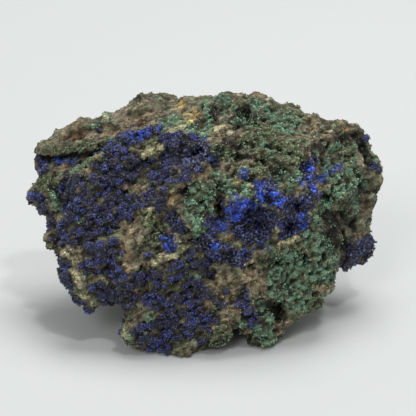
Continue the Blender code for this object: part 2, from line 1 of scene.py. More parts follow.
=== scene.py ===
"""Azurite specimen: the finished looks of a hand-sized lump of limonite crusted with azurite and malachite.

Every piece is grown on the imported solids. A fine rock skin is laid over the matrix and its crusts, minerals
are spread over it, and crystals, mossy grains and earthy crumbs grow out of it. Lengths are in millimetres
until a mesh is handed over in metres.

The front face leans back. LeaningFrame has u to the right along it, v up it and w into the rock. Places on
the face are also given on a flat chart of it, as a mineralogist would map it: x runs right and y runs down,
in steps of CHART_STEP.
"""

import logging
import math
from dataclasses import dataclass, field
from enum import Enum

import bpy
import numpy as np
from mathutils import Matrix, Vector
from mathutils.bvhtree import BVHTree
from mathutils.kdtree import KDTree


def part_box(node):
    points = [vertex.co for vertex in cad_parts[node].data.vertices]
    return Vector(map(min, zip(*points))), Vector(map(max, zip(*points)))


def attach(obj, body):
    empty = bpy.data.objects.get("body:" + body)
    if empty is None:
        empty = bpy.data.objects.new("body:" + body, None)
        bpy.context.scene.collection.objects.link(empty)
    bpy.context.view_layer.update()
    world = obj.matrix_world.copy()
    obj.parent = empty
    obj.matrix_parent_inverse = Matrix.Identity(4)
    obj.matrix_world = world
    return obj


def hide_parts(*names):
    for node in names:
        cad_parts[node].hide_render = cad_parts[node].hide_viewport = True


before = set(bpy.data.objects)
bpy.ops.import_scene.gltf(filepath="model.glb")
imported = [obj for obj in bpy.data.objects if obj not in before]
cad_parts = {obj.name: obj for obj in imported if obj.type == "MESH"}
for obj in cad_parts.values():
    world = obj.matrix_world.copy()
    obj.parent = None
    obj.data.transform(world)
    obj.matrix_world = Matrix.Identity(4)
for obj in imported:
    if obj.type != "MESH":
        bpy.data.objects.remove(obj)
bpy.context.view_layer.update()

MM = 0.001
LEAN = math.radians(22)  # the front face leans back by this angle
HEART = np.array((-0.737, -7.236, 26.0))  # where u = v = w = 0 lies
BED_DIP = math.radians(24)  # the rock's beds rise this much to the right
EYE_AWAY = 420.0  # from the heart of the rock to the eye that the chart is drawn from
CHART_STEP = 0.2408
CHART_MIDDLE = (208.0, 208.0)
IN_VIEW = 0.4  # a place counts as seen when the chart shows at least this share of it
EYE_ASIDE = (1.44, 4.1)  # how far right and up along the face the chart's middle lies

log = logging.getLogger("azurite_specimen")


class Mineral(Enum):
    """What covers a place on the rock."""

    AZURITE = "azurite"
    DRUSE = "hollow druse"
    ROYAL = "powdery azurite"
    MALACHITE = "malachite"
    MOSS = "moss-green film"
    CREAM = "cream lime"
    OCHRE = "ochre"
    TAN = "tan earth"
    RUST = "rust"
    # painted shade: not a coat on the rock but shade painted into its colour
    SHADE = "dark recess"


@dataclass(frozen=True)
class Streak:
    """A strip of the chart from one (x, y) to another, reaching this far to each side."""

    x0: float
    y0: float
    x1: float
    y1: float
    reach: float


STREAKS: dict[Mineral, tuple[Streak, ...]] = {
    Mineral.AZURITE: (
        Streak(102, 158, 125, 142, 7), Streak(125, 142, 158, 132, 5.5), Streak(168, 142, 192, 142, 6),
        Streak(100, 165, 135, 158, 6), Streak(112, 171, 128, 172, 6), Streak(132, 172, 150, 172, 6),
        Streak(150, 168, 166, 166, 6), Streak(168, 158, 184, 160, 7), Streak(165, 177, 184, 173, 7),
        Streak(70, 188, 92, 188, 10), Streak(108, 186, 124, 180, 7), Streak(75, 202, 98, 200, 12),
        Streak(98, 204, 112, 200, 9), Streak(112, 208, 122, 198, 7), Streak(128, 204, 138, 203, 7),
        Streak(150, 182, 160, 190, 6), Streak(152, 195, 158, 203, 6), Streak(112, 216, 124, 212, 7),
        Streak(88, 212, 112, 218, 8), Streak(66, 222, 76, 222, 7), Streak(78, 232, 104, 230, 8),
        Streak(50, 228, 62, 234, 8), Streak(62, 238, 80, 236, 6), Streak(92, 246, 116, 250, 9),
        Streak(62, 262, 68, 290, 6), Streak(70, 296, 92, 311, 4), Streak(88, 270, 108, 264, 9),
        Streak(103, 292, 116, 300, 9), Streak(124, 280, 132, 306, 7), Streak(116, 270, 126, 284, 6),
        Streak(138, 278, 156, 276, 6), Streak(150, 256, 152, 258, 3), Streak(150, 300, 168, 306, 7),
        Streak(170, 280, 194, 288, 9), Streak(178, 296, 196, 300, 6), Streak(168, 272, 180, 268, 6),
        Streak(194, 256, 208, 260, 7), Streak(199, 288, 205, 292, 5), Streak(205, 272, 212, 276, 4),
        Streak(140, 336, 160, 328, 9), Streak(164, 330, 186, 330, 7), Streak(150, 343, 168, 346, 4),
        Streak(166, 318, 176, 322, 5), Streak(184, 314, 200, 316, 7), Streak(200, 326, 214, 320, 6),
        Streak(198, 336, 206, 332, 5), Streak(245, 288, 247, 300, 3), Streak(241, 308, 251, 318, 5.5),
        Streak(197, 241, 212, 238, 6), Streak(210, 158, 217, 161, 4.5), Streak(345, 262, 352, 258, 5),
        Streak(54, 160, 60, 163, 3), Streak(70, 161, 77, 162, 4), Streak(41, 160, 45, 171, 4),
        Streak(34, 197, 42, 201, 4.5), Streak(42, 208, 49, 212, 4), Streak(376, 168, 376, 168, 4),
        Streak(365, 135, 366, 136, 3), Streak(228, 291, 229, 292, 3), Streak(216, 302, 222, 306, 3),
        Streak(97, 131, 100, 131, 2), Streak(208, 222, 218, 230, 6), Streak(99, 172, 107, 176, 5),
    ),
    Mineral.DRUSE: (
        Streak(242, 214, 264, 218, 13), Streak(244, 232, 262, 236, 9), Streak(266, 192, 276, 200, 9),
        Streak(286, 226, 300, 222, 8), Streak(294, 204, 306, 204, 8), Streak(308, 172, 312, 198, 5),
        Streak(282, 236, 296, 232, 4), Streak(304, 168, 313, 160, 3.5), Streak(220, 252, 240, 258, 9),
        Streak(184, 155, 195, 165, 8), Streak(352, 250, 371, 243, 8), Streak(168, 238, 172, 248, 5),
        Streak(172, 217, 180, 228, 6), Streak(95, 214, 106, 220, 5), Streak(194, 150, 202, 150, 6),
        Streak(282, 206, 290, 214, 6), Streak(205, 245, 214, 250, 5),
    ),
    Mineral.ROYAL: (
        Streak(224, 218, 236, 213, 7), Streak(235, 199, 250, 203, 6), Streak(259, 184, 270, 186, 6),
        Streak(243, 174, 250, 178, 4), Streak(222, 228, 232, 230, 5), Streak(213, 247, 217, 248, 4),
        Streak(248, 248, 256, 246, 5), Streak(300, 183, 310, 180, 4), Streak(165, 243, 172, 248, 5),
        Streak(320, 180, 326, 174, 4), Streak(331, 171, 340, 168, 4), Streak(198, 140, 204, 142, 4),
        Streak(128, 140, 158, 131, 3.5), Streak(60, 161, 76, 162, 3), Streak(262, 196, 264, 204, 4),
        Streak(272, 190, 279, 200, 4), Streak(308, 168, 313, 190, 3), Streak(300, 216, 304, 228, 3),
        Streak(34, 195, 40, 198, 3), Streak(262, 245, 268, 243, 4), Streak(212, 158, 216, 161, 2.5),
    ),
    Mineral.MALACHITE: (
        Streak(192, 214, 200, 234, 8), Streak(190, 206, 203, 214, 6), Streak(195, 190, 206, 196, 8),
        Streak(206, 204, 210, 222, 5), Streak(247, 190, 258, 196, 6), Streak(222, 184, 234, 192, 7),
        Streak(278, 178, 296, 178, 7), Streak(286, 186, 290, 190, 5), Streak(306, 238, 326, 246, 8),
        Streak(322, 254, 332, 258, 7), Streak(300, 262, 314, 272, 9), Streak(272, 278, 290, 272, 8),
        Streak(290, 288, 306, 292, 8), Streak(276, 258, 290, 256, 6), Streak(285, 298, 302, 304, 7),
        Streak(318, 274, 334, 278, 8), Streak(306, 308, 296, 310, 5), Streak(268, 292, 278, 296, 5),
        Streak(323, 162, 330, 176, 5), Streak(336, 180, 346, 172, 5), Streak(330, 188, 348, 188, 4),
        Streak(352, 145, 358, 172, 3.5), Streak(358, 182, 336, 197, 3.5), Streak(328, 200, 322, 212, 5),
        Streak(206, 104, 210, 122, 4), Streak(218, 98, 232, 104, 6), Streak(222, 110, 232, 104, 4),
        Streak(252, 104, 266, 108, 6), Streak(262, 118, 274, 114, 5), Streak(236, 122, 250, 125, 3),
        Streak(278, 126, 290, 130, 6), Streak(262, 146, 270, 150, 4), Streak(286, 118, 300, 124, 4),
        Streak(202, 134, 211, 130, 4), Streak(160, 127, 180, 120, 5), Streak(184, 124, 192, 128, 5),
        Streak(214, 171, 220, 174, 3), Streak(258, 305, 266, 318, 6), Streak(262, 330, 268, 338, 8),
        Streak(246, 322, 256, 326, 5), Streak(150, 315, 150, 318, 4), Streak(54, 194, 58, 206, 5),
        Streak(95, 125, 99, 123, 3), Streak(105, 112, 107, 120, 3), Streak(364, 182, 358, 190, 5),
        Streak(352, 200, 356, 212, 5), Streak(366, 150, 372, 160, 4), Streak(125, 330, 132, 335, 5),
        Streak(318, 215, 316, 232, 4), Streak(327, 150, 340, 146, 4), Streak(190, 276, 198, 280, 3),
        Streak(108, 138, 120, 142, 2.5), Streak(72, 172, 84, 167, 2), Streak(78, 217, 82, 220, 3),
    ),
    Mineral.MOSS: (
        Streak(262, 158, 300, 164, 12), Streak(240, 172, 290, 166, 6), Streak(248, 142, 290, 148, 8),
        Streak(45, 185, 60, 185, 9), Streak(345, 150, 352, 170, 8), Streak(270, 110, 300, 120, 8),
        Streak(340, 206, 350, 212, 6), Streak(240, 120, 270, 130, 8), Streak(60, 150, 104, 144, 4),
        Streak(62, 200, 60, 212, 6), Streak(220, 150, 232, 160, 6), Streak(290, 250, 315, 300, 14),
        Streak(264, 262, 280, 270, 10), Streak(216, 338, 262, 342, 6), Streak(208, 328, 222, 330, 5),
        Streak(190, 182, 200, 186, 5), Streak(150, 222, 160, 236, 8), Streak(106, 104, 118, 106, 4),
        Streak(330, 272, 336, 282, 8), Streak(146, 150, 150, 162, 5), Streak(84, 164, 98, 160, 4),
    ),
    Mineral.CREAM: (
        Streak(140, 155, 152, 150, 4), Streak(155, 150, 172, 144, 3.5), Streak(212, 133, 223, 128, 3),
        Streak(152, 266, 160, 258, 4.5), Streak(160, 256, 174, 258, 3),
        Streak(147, 226, 148, 210, 1.8), Streak(72, 258, 78, 280, 1.2), Streak(80, 296, 92, 305, 2.2),
        Streak(234, 181, 242, 180, 3.5), Streak(278, 213, 279, 230, 4), Streak(122, 328, 129, 337, 3),
        Streak(280, 245, 296, 238, 3), Streak(178, 126, 190, 122, 3), Streak(170, 132, 184, 126, 3),
        Streak(250, 186, 256, 190, 3), Streak(108, 118, 104, 116, 2), Streak(60, 246, 66, 252, 1),
    ),
    Mineral.OCHRE: (
        Streak(183, 121, 193, 116, 5), Streak(168, 195, 172, 198, 4), Streak(236, 181, 240, 181, 2.5),
        Streak(217, 262, 217, 262, 2), Streak(178, 108, 184, 102, 3.5), Streak(174, 146, 178, 144, 2),
        Streak(358, 232, 359, 234, 1.8), Streak(84, 220, 88, 216, 2.5), Streak(76, 160, 96, 156, 2),
    ),
    Mineral.TAN: (
        Streak(246, 262, 256, 286, 8), Streak(252, 256, 268, 256, 5), Streak(225, 300, 238, 306, 9),
        Streak(226, 275, 234, 290, 5), Streak(190, 306, 205, 304, 8), Streak(206, 292, 216, 280, 6),
        Streak(130, 225, 124, 252, 8), Streak(120, 255, 128, 268, 6), Streak(130, 124, 150, 114, 8),
        Streak(104, 132, 122, 130, 6), Streak(182, 190, 164, 204, 4), Streak(186, 182, 206, 168, 8),
        Streak(130, 190, 144, 194, 7), Streak(316, 160, 317, 200, 4), Streak(60, 168, 90, 172, 4),
        Streak(310, 124, 322, 130, 6), Streak(336, 116, 348, 118, 6), Streak(362, 205, 374, 212, 2.5),
        Streak(126, 152, 136, 160, 4), Streak(50, 218, 66, 216, 4), Streak(206, 330, 224, 322, 4),
        Streak(276, 318, 288, 326, 3), Streak(64, 128, 82, 122, 6), Streak(320, 286, 334, 290, 6),
    ),
    Mineral.RUST: (
        Streak(122, 240, 127, 268, 4), Streak(228, 237, 232, 230, 2), Streak(282, 246, 290, 243, 2.5),
        Streak(64, 137, 88, 132, 3), Streak(255, 94, 272, 95, 3), Streak(134, 122, 142, 126, 4),
        Streak(218, 248, 222, 244, 2), Streak(340, 127, 346, 129, 2.5),
    ),
    # painted shade: strips darkened under ledges, in clefts and hollows, and on the flank at the right end
    # that faces away from the light
    Mineral.SHADE: (
        Streak(46, 158, 80, 157, 3), Streak(80, 156, 98, 152, 2), Streak(194, 152, 203, 156, 5),
        Streak(268, 194, 273, 203, 5), Streak(297, 206, 300, 212, 4), Streak(286, 224, 290, 232, 6),
        Streak(246, 222, 262, 230, 8), Streak(226, 256, 232, 262, 5), Streak(272, 308, 282, 316, 6),
        Streak(182, 190, 186, 193, 4), Streak(219, 206, 222, 216, 3.5), Streak(323, 196, 330, 200, 5),
        Streak(238, 114, 252, 118, 6), Streak(212, 110, 216, 118, 4), Streak(98, 219, 106, 223, 4),
        Streak(262, 340, 200, 343, 3), Streak(357, 170, 360, 190, 3), Streak(360, 191, 376, 191, 2),
        Streak(50, 188, 58, 194, 4), Streak(340, 138, 348, 134, 3), Streak(200, 200, 206, 208, 3),
        Streak(236, 158, 250, 156, 3), Streak(270, 170, 282, 170, 3), Streak(224, 142, 240, 146, 4),
        Streak(282, 284, 288, 290, 3), Streak(262, 262, 276, 262, 4), Streak(300, 256, 306, 262, 4),
        Streak(156, 232, 164, 236, 4), Streak(214, 146, 220, 150, 3), Streak(330, 218, 336, 240, 8),
        Streak(344, 214, 352, 226, 5), Streak(322, 236, 328, 246, 5), Streak(356, 140, 366, 152, 4),
    ),
}


def linear(red: float, green: float, blue: float) -> np.ndarray:
    """The linear colour of one given by eye, from 0 to 255 a channel."""
    share = np.array((red, green, blue)) / 255
    return np.where(share <= 0.04045, share / 12.92, ((share + 0.055) / 1.055) ** 2.4)


def ramp(values: np.ndarray, start: float, end: float) -> np.ndarray:
    """A smooth rise from 0 at start to 1 at end."""
    share = np.clip((values - start) / (end - start), 0, 1)
    return share * share * (3 - 2 * share)


@dataclass(frozen=True)
class Lumps:
    """Lattice noise: smooth random swellings of this size, from -1 to 1."""

    size: float
    seed: int
    octaves: int = 1
    corners: int = 4096

    def at(self, points: np.ndarray) -> np.ndarray:
        """The noise at each point.

        Args:
            points: N places in mm.

        Returns:
            N values, mostly between -1 and 1.
        """
        total = np.zeros(len(points))
        weight = 1.0
        weights = 0.0
        for octave in range(self.octaves):
            total += weight * self.layer(points * 2.03**octave / self.size, self.seed + 31 * octave)
            weights += weight
            weight *= 0.55
        return total / weights

    def layer(self, places: np.ndarray, seed: int) -> np.ndarray:
        """One octave of gradient noise.

        Args:
            places: N places in lattice steps.
            seed: which lattice to use.

        Returns:
            N values from about -1 to 1.
        """
        chance = np.random.default_rng(seed)
        slopes = chance.normal(size=(self.corners, 3))
        slopes /= np.linalg.norm(slopes, axis=1)[:, None]
        places = places + chance.uniform(0, 100, 3)
        cell = np.floor(places).astype(np.int64)
        inside = places - cell
        ease = inside**3 * (inside * (inside * 6 - 15) + 10)
        total = np.zeros(len(places))
        for step in np.ndindex(2, 2, 2):
            corner = cell + np.array(step)
            number = (corner[:, 0] * 73856093) ^ (corner[:, 1] * 19349663) ^ (corner[:, 2] * 83492791)
            slope = slopes[number % self.corners]
            share = np.prod(np.where(step, ease, 1 - ease), axis=1)
            total += share * np.einsum("ij,ij->i", slope, inside - np.array(step))
        return total * 1.7


class Noise(Enum):
    """The swellings that shape and colour the specimen, each with its own size in mm and its own seed."""

    SWELLS = Lumps(4.6, 3, 2)
    LEDGES = Lumps(4.2, 5, 2)
    CRAGS = Lumps(2.4, 6, 2)
    PITS = Lumps(2.7, 7, 2)
    HOLLOW_RIMS = Lumps(2.2, 8)
    FINE_BORDERS = Lumps(1.5, 21, 2)
    BROAD_BORDERS = Lumps(3.8, 22)
    WANDER_ACROSS = Lumps(3.0, 23)
    WANDER_DOWN = Lumps(3.0, 24)
    EARTH_LUMPS = Lumps(1.9, 51, 2)
    EARTH_GRAIN = Lumps(1.1, 52)
    MOSS_VEINS = Lumps(2.1, 53, 2)
    MOSS_GRAIN = Lumps(1.1, 54)
    BLUE_SUGAR = Lumps(1.2, 55)
    BARE_BANDS = Lumps(2.6, 56, 2)
    CLUSTER_TONES = Lumps(1.6, 57, 2)
    MOSS_WEB = Lumps(0.9, 58)
    ROCK_PATCHES = Lumps(4.0, 61, 3)
    ROCK_FLECKS = Lumps(1.2, 62, 2)
    GREEN_FILM = Lumps(2.0, 64, 2)
    SPECKLES = Lumps(0.9, 65, 2)
    VERDIGRIS = Lumps(1.0, 66, 2)
    ROCK_STREAKS = Lumps(0.9, 67, 2)
    CRYSTAL_TONES = Lumps(1.0, 71)
    LEAF_TONES = Lumps(1.8, 82)
    CRUMB_TONES = Lumps(3.0, 91)

    def at(self, points: np.ndarray) -> np.ndarray:
        """The noise at each point, as in Lumps."""
        return self.value.at(points)


@dataclass(frozen=True)
class Patches:
    """Noise that decides where something lies: nowhere at start, and fully from end on."""

    size: float
    seed: int
    start: float
    end: float
    strength: float = 1.0

    def amount(self, points: np.ndarray, ragged: np.ndarray | float = 0.0) -> np.ndarray:
        """How much of it lies at each place.

        Args:
            points: N places in mm.
            ragged: what roughens the borders of the patches.

        Returns:
            N amounts, from 0 to the strength.
        """
        noise = Lumps(self.size, self.seed, 2).at(points) + ragged
        return ramp(noise, self.start, self.end) * self.strength


FRAYS = {
    Mineral.ROYAL: Patches(1.3, 31, -0.12, 0.22),
    Mineral.MALACHITE: Patches(1.7, 32, -0.42, 0.1),
    Mineral.CREAM: Patches(1.2, 33, -0.6, -0.1),
    Mineral.OCHRE: Patches(1.4, 34, -0.35, 0.1),
    Mineral.RUST: Patches(1.8, 35, -0.3, 0.4),
    Mineral.TAN: Patches(2.2, 36, -0.6, 0.2),
}
OFF_THE_CHART = {
    Mineral.AZURITE: Patches(7.5, 41, 0.52, 0.62),
    Mineral.DRUSE: Patches(5.5, 47, 0.72, 0.82),
    Mineral.ROYAL: Patches(5.0, 48, 0.72, 0.82),
    Mineral.MALACHITE: Patches(9.0, 42, 0.42, 0.55),
    Mineral.MOSS: Patches(11.0, 43, 0.12, 0.4, 0.8),
    Mineral.TAN: Patches(10.0, 44, 0.25, 0.5, 0.7),
    Mineral.CREAM: Patches(6.0, 45, 0.55, 0.7, 0.8),
    Mineral.RUST: Patches(8.0, 46, 0.5, 0.7, 0.7),
}
FAR_ROUND = (Mineral.AZURITE, Mineral.DRUSE, Mineral.ROYAL)  # patches of these keep to the far side


@dataclass(frozen=True)
class Bedding:
    """The worn edges of rock beds of one thickness, in mm, and how deep they are worn back."""

    thickness: float
    depth: float
    seed: int

    def heights(self, points: np.ndarray) -> np.ndarray:
        """How far the worn edges stand out, like worn steps that overhang.

        Args:
            points: N places in mm.

        Returns:
            N heights in mm.
        """
        bed = along_beds(points, 1.0)[:, 1] / self.thickness
        bed = bed + 0.9 * Lumps(7.0, self.seed, 2).at(points)
        broken = ramp(Lumps(5.0, self.seed + 1, 2).at(points), -0.25, 0.45)
        return (0.55 - (bed - np.floor(bed))) * self.depth * broken


BEDDINGS = (Bedding(4.6, 1.3, 15), Bedding(2.1, 0.7, 18))


class LeaningFrame:
    """The frame of the leaning front face, and the chart drawn of it."""

    AXES = np.array((
        (1.0, 0.0, 0.0),
        (0.0, math.sin(LEAN), math.cos(LEAN)),
        (0.0, math.cos(LEAN), -math.sin(LEAN)),
    ))

    @classmethod
    def leaned(cls, uvw: np.ndarray) -> np.ndarray:
        """World places, in mm, of (u, v, w) places."""
        return uvw @ cls.AXES + HEART

    @classmethod
    def upright(cls, points: np.ndarray) -> np.ndarray:
        """The (u, v, w) of world places in mm."""
        return (points - HEART) @ cls.AXES.T

    @classmethod
    def eye(cls) -> np.ndarray:
        """Where the chart is drawn from."""
        return cls.leaned(np.array((*EYE_ASIDE, -EYE_AWAY)))

    @classmethod
    def charted(cls, points: np.ndarray) -> np.ndarray:
        """The chart's x and y of world places.

        Args:
            points: N places in mm.

        Returns:
            An N by 2 array.
        """
        u, v, w = cls.upright(points).T
        nearness = EYE_AWAY / (EYE_AWAY + w) / CHART_STEP
        return np.stack((
            CHART_MIDDLE[0] + (u - EYE_ASIDE[0]) * nearness,
            CHART_MIDDLE[1] - (v - EYE_ASIDE[1]) * nearness,
        ), axis=1)


def along_beds(points: np.ndarray, longer: float) -> np.ndarray:
    """Places squeezed along the rock's beds, so that noise read there comes out drawn out along them.

    Args:
        points: N places in mm.
        longer: how many times as long as high the swellings become.

    Returns:
        The squeezed places.
    """
    u, v, w = LeaningFrame.upright(points).T
    along = u * math.cos(BED_DIP) + v * math.sin(BED_DIP)
    across = v * math.cos(BED_DIP) - u * math.sin(BED_DIP)
    return np.stack((along / longer, across, w * 0.8), axis=1)


class Surface:
    """A mesh held as arrays: places in mm, normals, edges and faces."""

    def __init__(self, mesh: bpy.types.Mesh) -> None:
        """Reads the arrays of a mesh in mm.

        Args:
            mesh: the mesh, which stays in step with the places.
        """
        self.mesh = mesh
        self.points = np.empty(len(mesh.vertices) * 3)
        mesh.vertices.foreach_get("co", self.points)
        self.points = self.points.reshape(-1, 3)
        self.edges = np.empty(len(mesh.edges) * 2, np.int64)
        mesh.edges.foreach_get("vertices", self.edges)
        self.edges = self.edges.reshape(-1, 2)
        self.links = np.bincount(self.edges.ravel(), minlength=len(self.points))[:, None]
        self.normals = np.empty_like(self.points)
        self.refresh()

    def refresh(self) -> None:
        """Writes the places to the mesh and reads its normals again."""
        self.mesh.vertices.foreach_set("co", self.points.ravel())
        self.mesh.update()
        flat = np.empty(self.points.size)
        self.mesh.vertex_normals.foreach_get("vector", flat)
        self.normals = flat.reshape(-1, 3)

    def push(self, heights: np.ndarray) -> None:
        """Moves each vertex along its normal by this many mm."""
        self.points += self.normals * heights[:, None]
        self.refresh()

    def averaged(self, values: np.ndarray, rounds: int) -> np.ndarray:
        """Values evened out over their neighbours.

        Args:
            values: N rows of numbers.
            rounds: how many times each row is averaged with the rows beside it.

        Returns:
            The evened rows.
        """
        rows = values.reshape(len(values), -1).astype(float)
        near, far = self.edges.T
        for _ in range(rounds):
            total = np.empty_like(rows)
            for column in range(rows.shape[1]):
                source = rows[:, column]
                total[:, column] = np.bincount(near, source[far], len(rows))
                total[:, column] += np.bincount(far, source[near], len(rows))
            rows = 0.5 * rows + 0.5 * total / self.links
        return rows.reshape(values.shape)

    def remade(self, voxel: float) -> "Surface":
        """One closed skin round this one.

        Args:
            voxel: its grain in mm.

        Returns:
            The new surface; this one's mesh is removed.
        """
        obj = bpy.data.objects.new("workpiece", self.mesh)
        bpy.context.scene.collection.objects.link(obj)
        remesh = obj.modifiers.new("skin", "REMESH")
        remesh.mode = "VOXEL"
        remesh.voxel_size = voxel
        graph = bpy.context.evaluated_depsgraph_get()
        made = bpy.data.meshes.new_from_object(obj.evaluated_get(graph))
        bpy.data.objects.remove(obj)
        bpy.data.meshes.remove(self.mesh)
        return Surface(made)


@dataclass(frozen=True)
class Relief:
    """A sharp ridge, or with a negative height a groove, along (x, y) points of the chart.

    With a drop, what lies on the right-hand side of the path is lowered by it instead: the lower
    side, for a path that runs to the right.
    """

    path: tuple[tuple[float, float], ...]
    reach: float
    height: float
    drop: float | None = None

    def heights(self, places: np.ndarray) -> np.ndarray:
        """How far each chart place is raised.

        Args:
            places: N chart places.

        Returns:
            N heights in mm.
        """
        away = np.full(len(places), np.inf)
        below = np.zeros(len(places), bool)
        for start, end in zip(self.path, self.path[1:]):
            nearer = strip_distance(places, start, end)
            along = np.subtract(end, start)
            beside = places - np.array(start)
            right = along[0] * beside[:, 1] - along[1] * beside[:, 0] > 0
            below = np.where(nearer < away, right, below)
            away = np.minimum(away, nearer)
        share = np.exp(-((away / self.reach) ** 2))
        if self.drop is None:
            return self.height * share
        return np.where(below, -self.drop, self.height) * share


RELIEFS = (
    Relief(((38, 154), (52, 155), (66, 154), (82, 152), (98, 146), (112, 140)), 5.0, 0.7, 1.6),
    Relief(((50, 171), (75, 166), (98, 161)), 4.0, 0.6),
    Relief(((66, 178), (67, 196), (61, 212), (48, 218)), 4.0, -1.0),
    Relief(((98, 164), (108, 152), (122, 142), (138, 135), (158, 130)), 4.5, 0.9, 0.3),
    Relief(((136, 160), (146, 156), (158, 151), (176, 144)), 4.0, 1.1, 1.0),
    Relief(((126, 172), (140, 163), (160, 158), (180, 150)), 3.5, -0.7),
    Relief(((154, 203), (170, 194), (188, 182), (203, 168), (216, 152)), 4.5, 0.8, 0.5),
    Relief(((118, 212), (130, 204), (148, 202)), 4.0, 0.5, 0.5),
    Relief(((137, 264), (139, 245), (148, 226), (149, 212)), 3.0, 0.8),
    Relief(((148, 268), (156, 263), (166, 260), (178, 257)), 3.5, 1.0, 0.8),
    Relief(((118, 303), (112, 286), (108, 268)), 4.0, -1.2),
    Relief(((66, 252), (76, 265), (82, 286), (94, 302)), 4.0, 0.5),
    Relief(((60, 246), (74, 243), (92, 240)), 4.0, -0.8),
    Relief(((277, 205), (278, 220), (275, 236)), 3.5, 0.7),
    Relief(((222, 214), (230, 204), (245, 195), (262, 190), (276, 196)), 4.0, 0.7),
    Relief(((236, 234), (250, 240), (262, 242), (274, 238)), 3.5, 0.7),
    Relief(((250, 264), (262, 255), (280, 247), (302, 236)), 4.0, 1.1, 0.9),
    Relief(((311, 150), (313, 172), (312, 198), (308, 225)), 4.0, -1.3, -0.7),
    Relief(((306, 160), (309, 185), (307, 205)), 3.0, 0.8),
    Relief(
        ((322, 140), (340, 136), (351, 142), (357, 158), (355, 176), (346, 190), (334, 198)), 3.2, 1.0, 0.4
    ),
    Relief(((365, 150), (366, 188)), 5.0, -0.7),
    Relief(((372, 200), (371, 240)), 6.0, 0.9),
    Relief(((336, 119), (346, 118)), 5.0, 0.7),
    Relief(((262, 300), (248, 312), (236, 322), (233, 341)), 5.0, -0.9),
    Relief(((205, 118), (210, 104), (222, 96)), 4.0, 0.8),
    Relief(((206, 138), (222, 130), (232, 128)), 3.0, 0.8, 0.6),
    Relief(((222, 135), (250, 140), (275, 148), (306, 158)), 4.0, 0.6, 0.3),
    Relief(((220, 188), (221, 205), (217, 218)), 4.0, -1.5),
    Relief(((222, 152), (250, 160), (280, 168), (305, 170)), 4.0, -0.7),
    Relief(((296, 112), (310, 122), (330, 130), (344, 134)), 3.5, 0.7, 0.5),
    Relief(((322, 122), (328, 128), (328, 134)), 3.0, -0.8),
    Relief(((80, 129), (110, 134), (140, 136)), 3.0, -0.6),
    Relief(((90, 121), (120, 127), (150, 118)), 3.0, 0.3, 0.4),
    Relief(((120, 112), (150, 108), (180, 104)), 3.0, 0.3, 0.4),
    Relief(((104, 126), (105, 116), (107, 110)), 3.0, 0.8),
    Relief(((112, 113), (124, 106), (136, 100), (146, 96)), 4.5, -0.9),
    Relief(((162, 97), (176, 98), (186, 97)), 5.0, 0.8),
    Relief(((196, 95), (206, 94), (214, 97)), 4.5, -0.8),
    Relief(((229, 95), (240, 96)), 4.0, 0.9),
    Relief(((318, 120), (326, 120)), 3.0, -0.5),
    Relief(((150, 318), (170, 314), (196, 308)), 3.5, 0.4, 0.5),
    Relief(((128, 318), (140, 322), (150, 330)), 3.5, -0.6),
    Relief(((212, 322), (228, 312), (244, 302), (256, 292)), 3.5, 0.6, 0.6),
    Relief(((256, 320), (264, 328), (266, 340)), 3.0, 0.5),
)


@dataclass(frozen=True)
class Hollow:
    """A hole in the front face, round this (x, y) of the chart, sunk straight into the rock."""

    x: float
    y: float
    radius: float
    depth: float


HOLLOWS = (
    Hollow(256, 217, 17, 3.0),
    Hollow(247, 225, 9, 1.4),
    Hollow(291, 227, 8, 3.2),
    Hollow(298, 206, 6, 2.8),
    Hollow(268, 199, 7, 2.6),
    Hollow(231, 257, 8, 1.8),
    Hollow(279, 307, 9, 5.0),
    Hollow(277, 317, 6, 4.0),
    Hollow(197, 152, 8, 2.8),
    Hollow(183, 190, 6, 2.4),
    Hollow(201, 201, 6, 1.6),
    Hollow(220, 208, 5, 2.6),
    Hollow(244, 116, 9, 3.0),
    Hollow(262, 118, 6, 1.8),
    Hollow(215, 110, 5, 1.6),
    Hollow(327, 197, 7, 2.4),
    Hollow(100, 221, 7, 1.3),
    Hollow(60, 191, 6, 1.5),
    Hollow(305, 258, 5, 1.4),
    Hollow(280, 262, 5, 1.2),
    Hollow(292, 288, 5, 1.3),
    Hollow(318, 282, 5, 1.3),
    Hollow(158, 250, 5, 1.2),
    Hollow(340, 215, 7, 1.2),
    Hollow(265, 160, 5, 1.0),
    Hollow(285, 172, 5, 1.0),
    Hollow(240, 160, 5, 1.0),
)


def strip_distance(
    places: np.ndarray, start: tuple[float, float], end: tuple[float, float]
) -> np.ndarray:
    """How far each chart place is from a straight strip's middle line.

    Args:
        places: N chart places.
        start: one end of the line.
        end: the other end.

    Returns:
        N distances in chart steps.
    """
    along = np.subtract(end, start)
    away = places - np.array(start)
    share = np.clip(away @ along / max(along @ along, 1e-6), 0, 1)
    return np.linalg.norm(away - share[:, None] * along, axis=1)


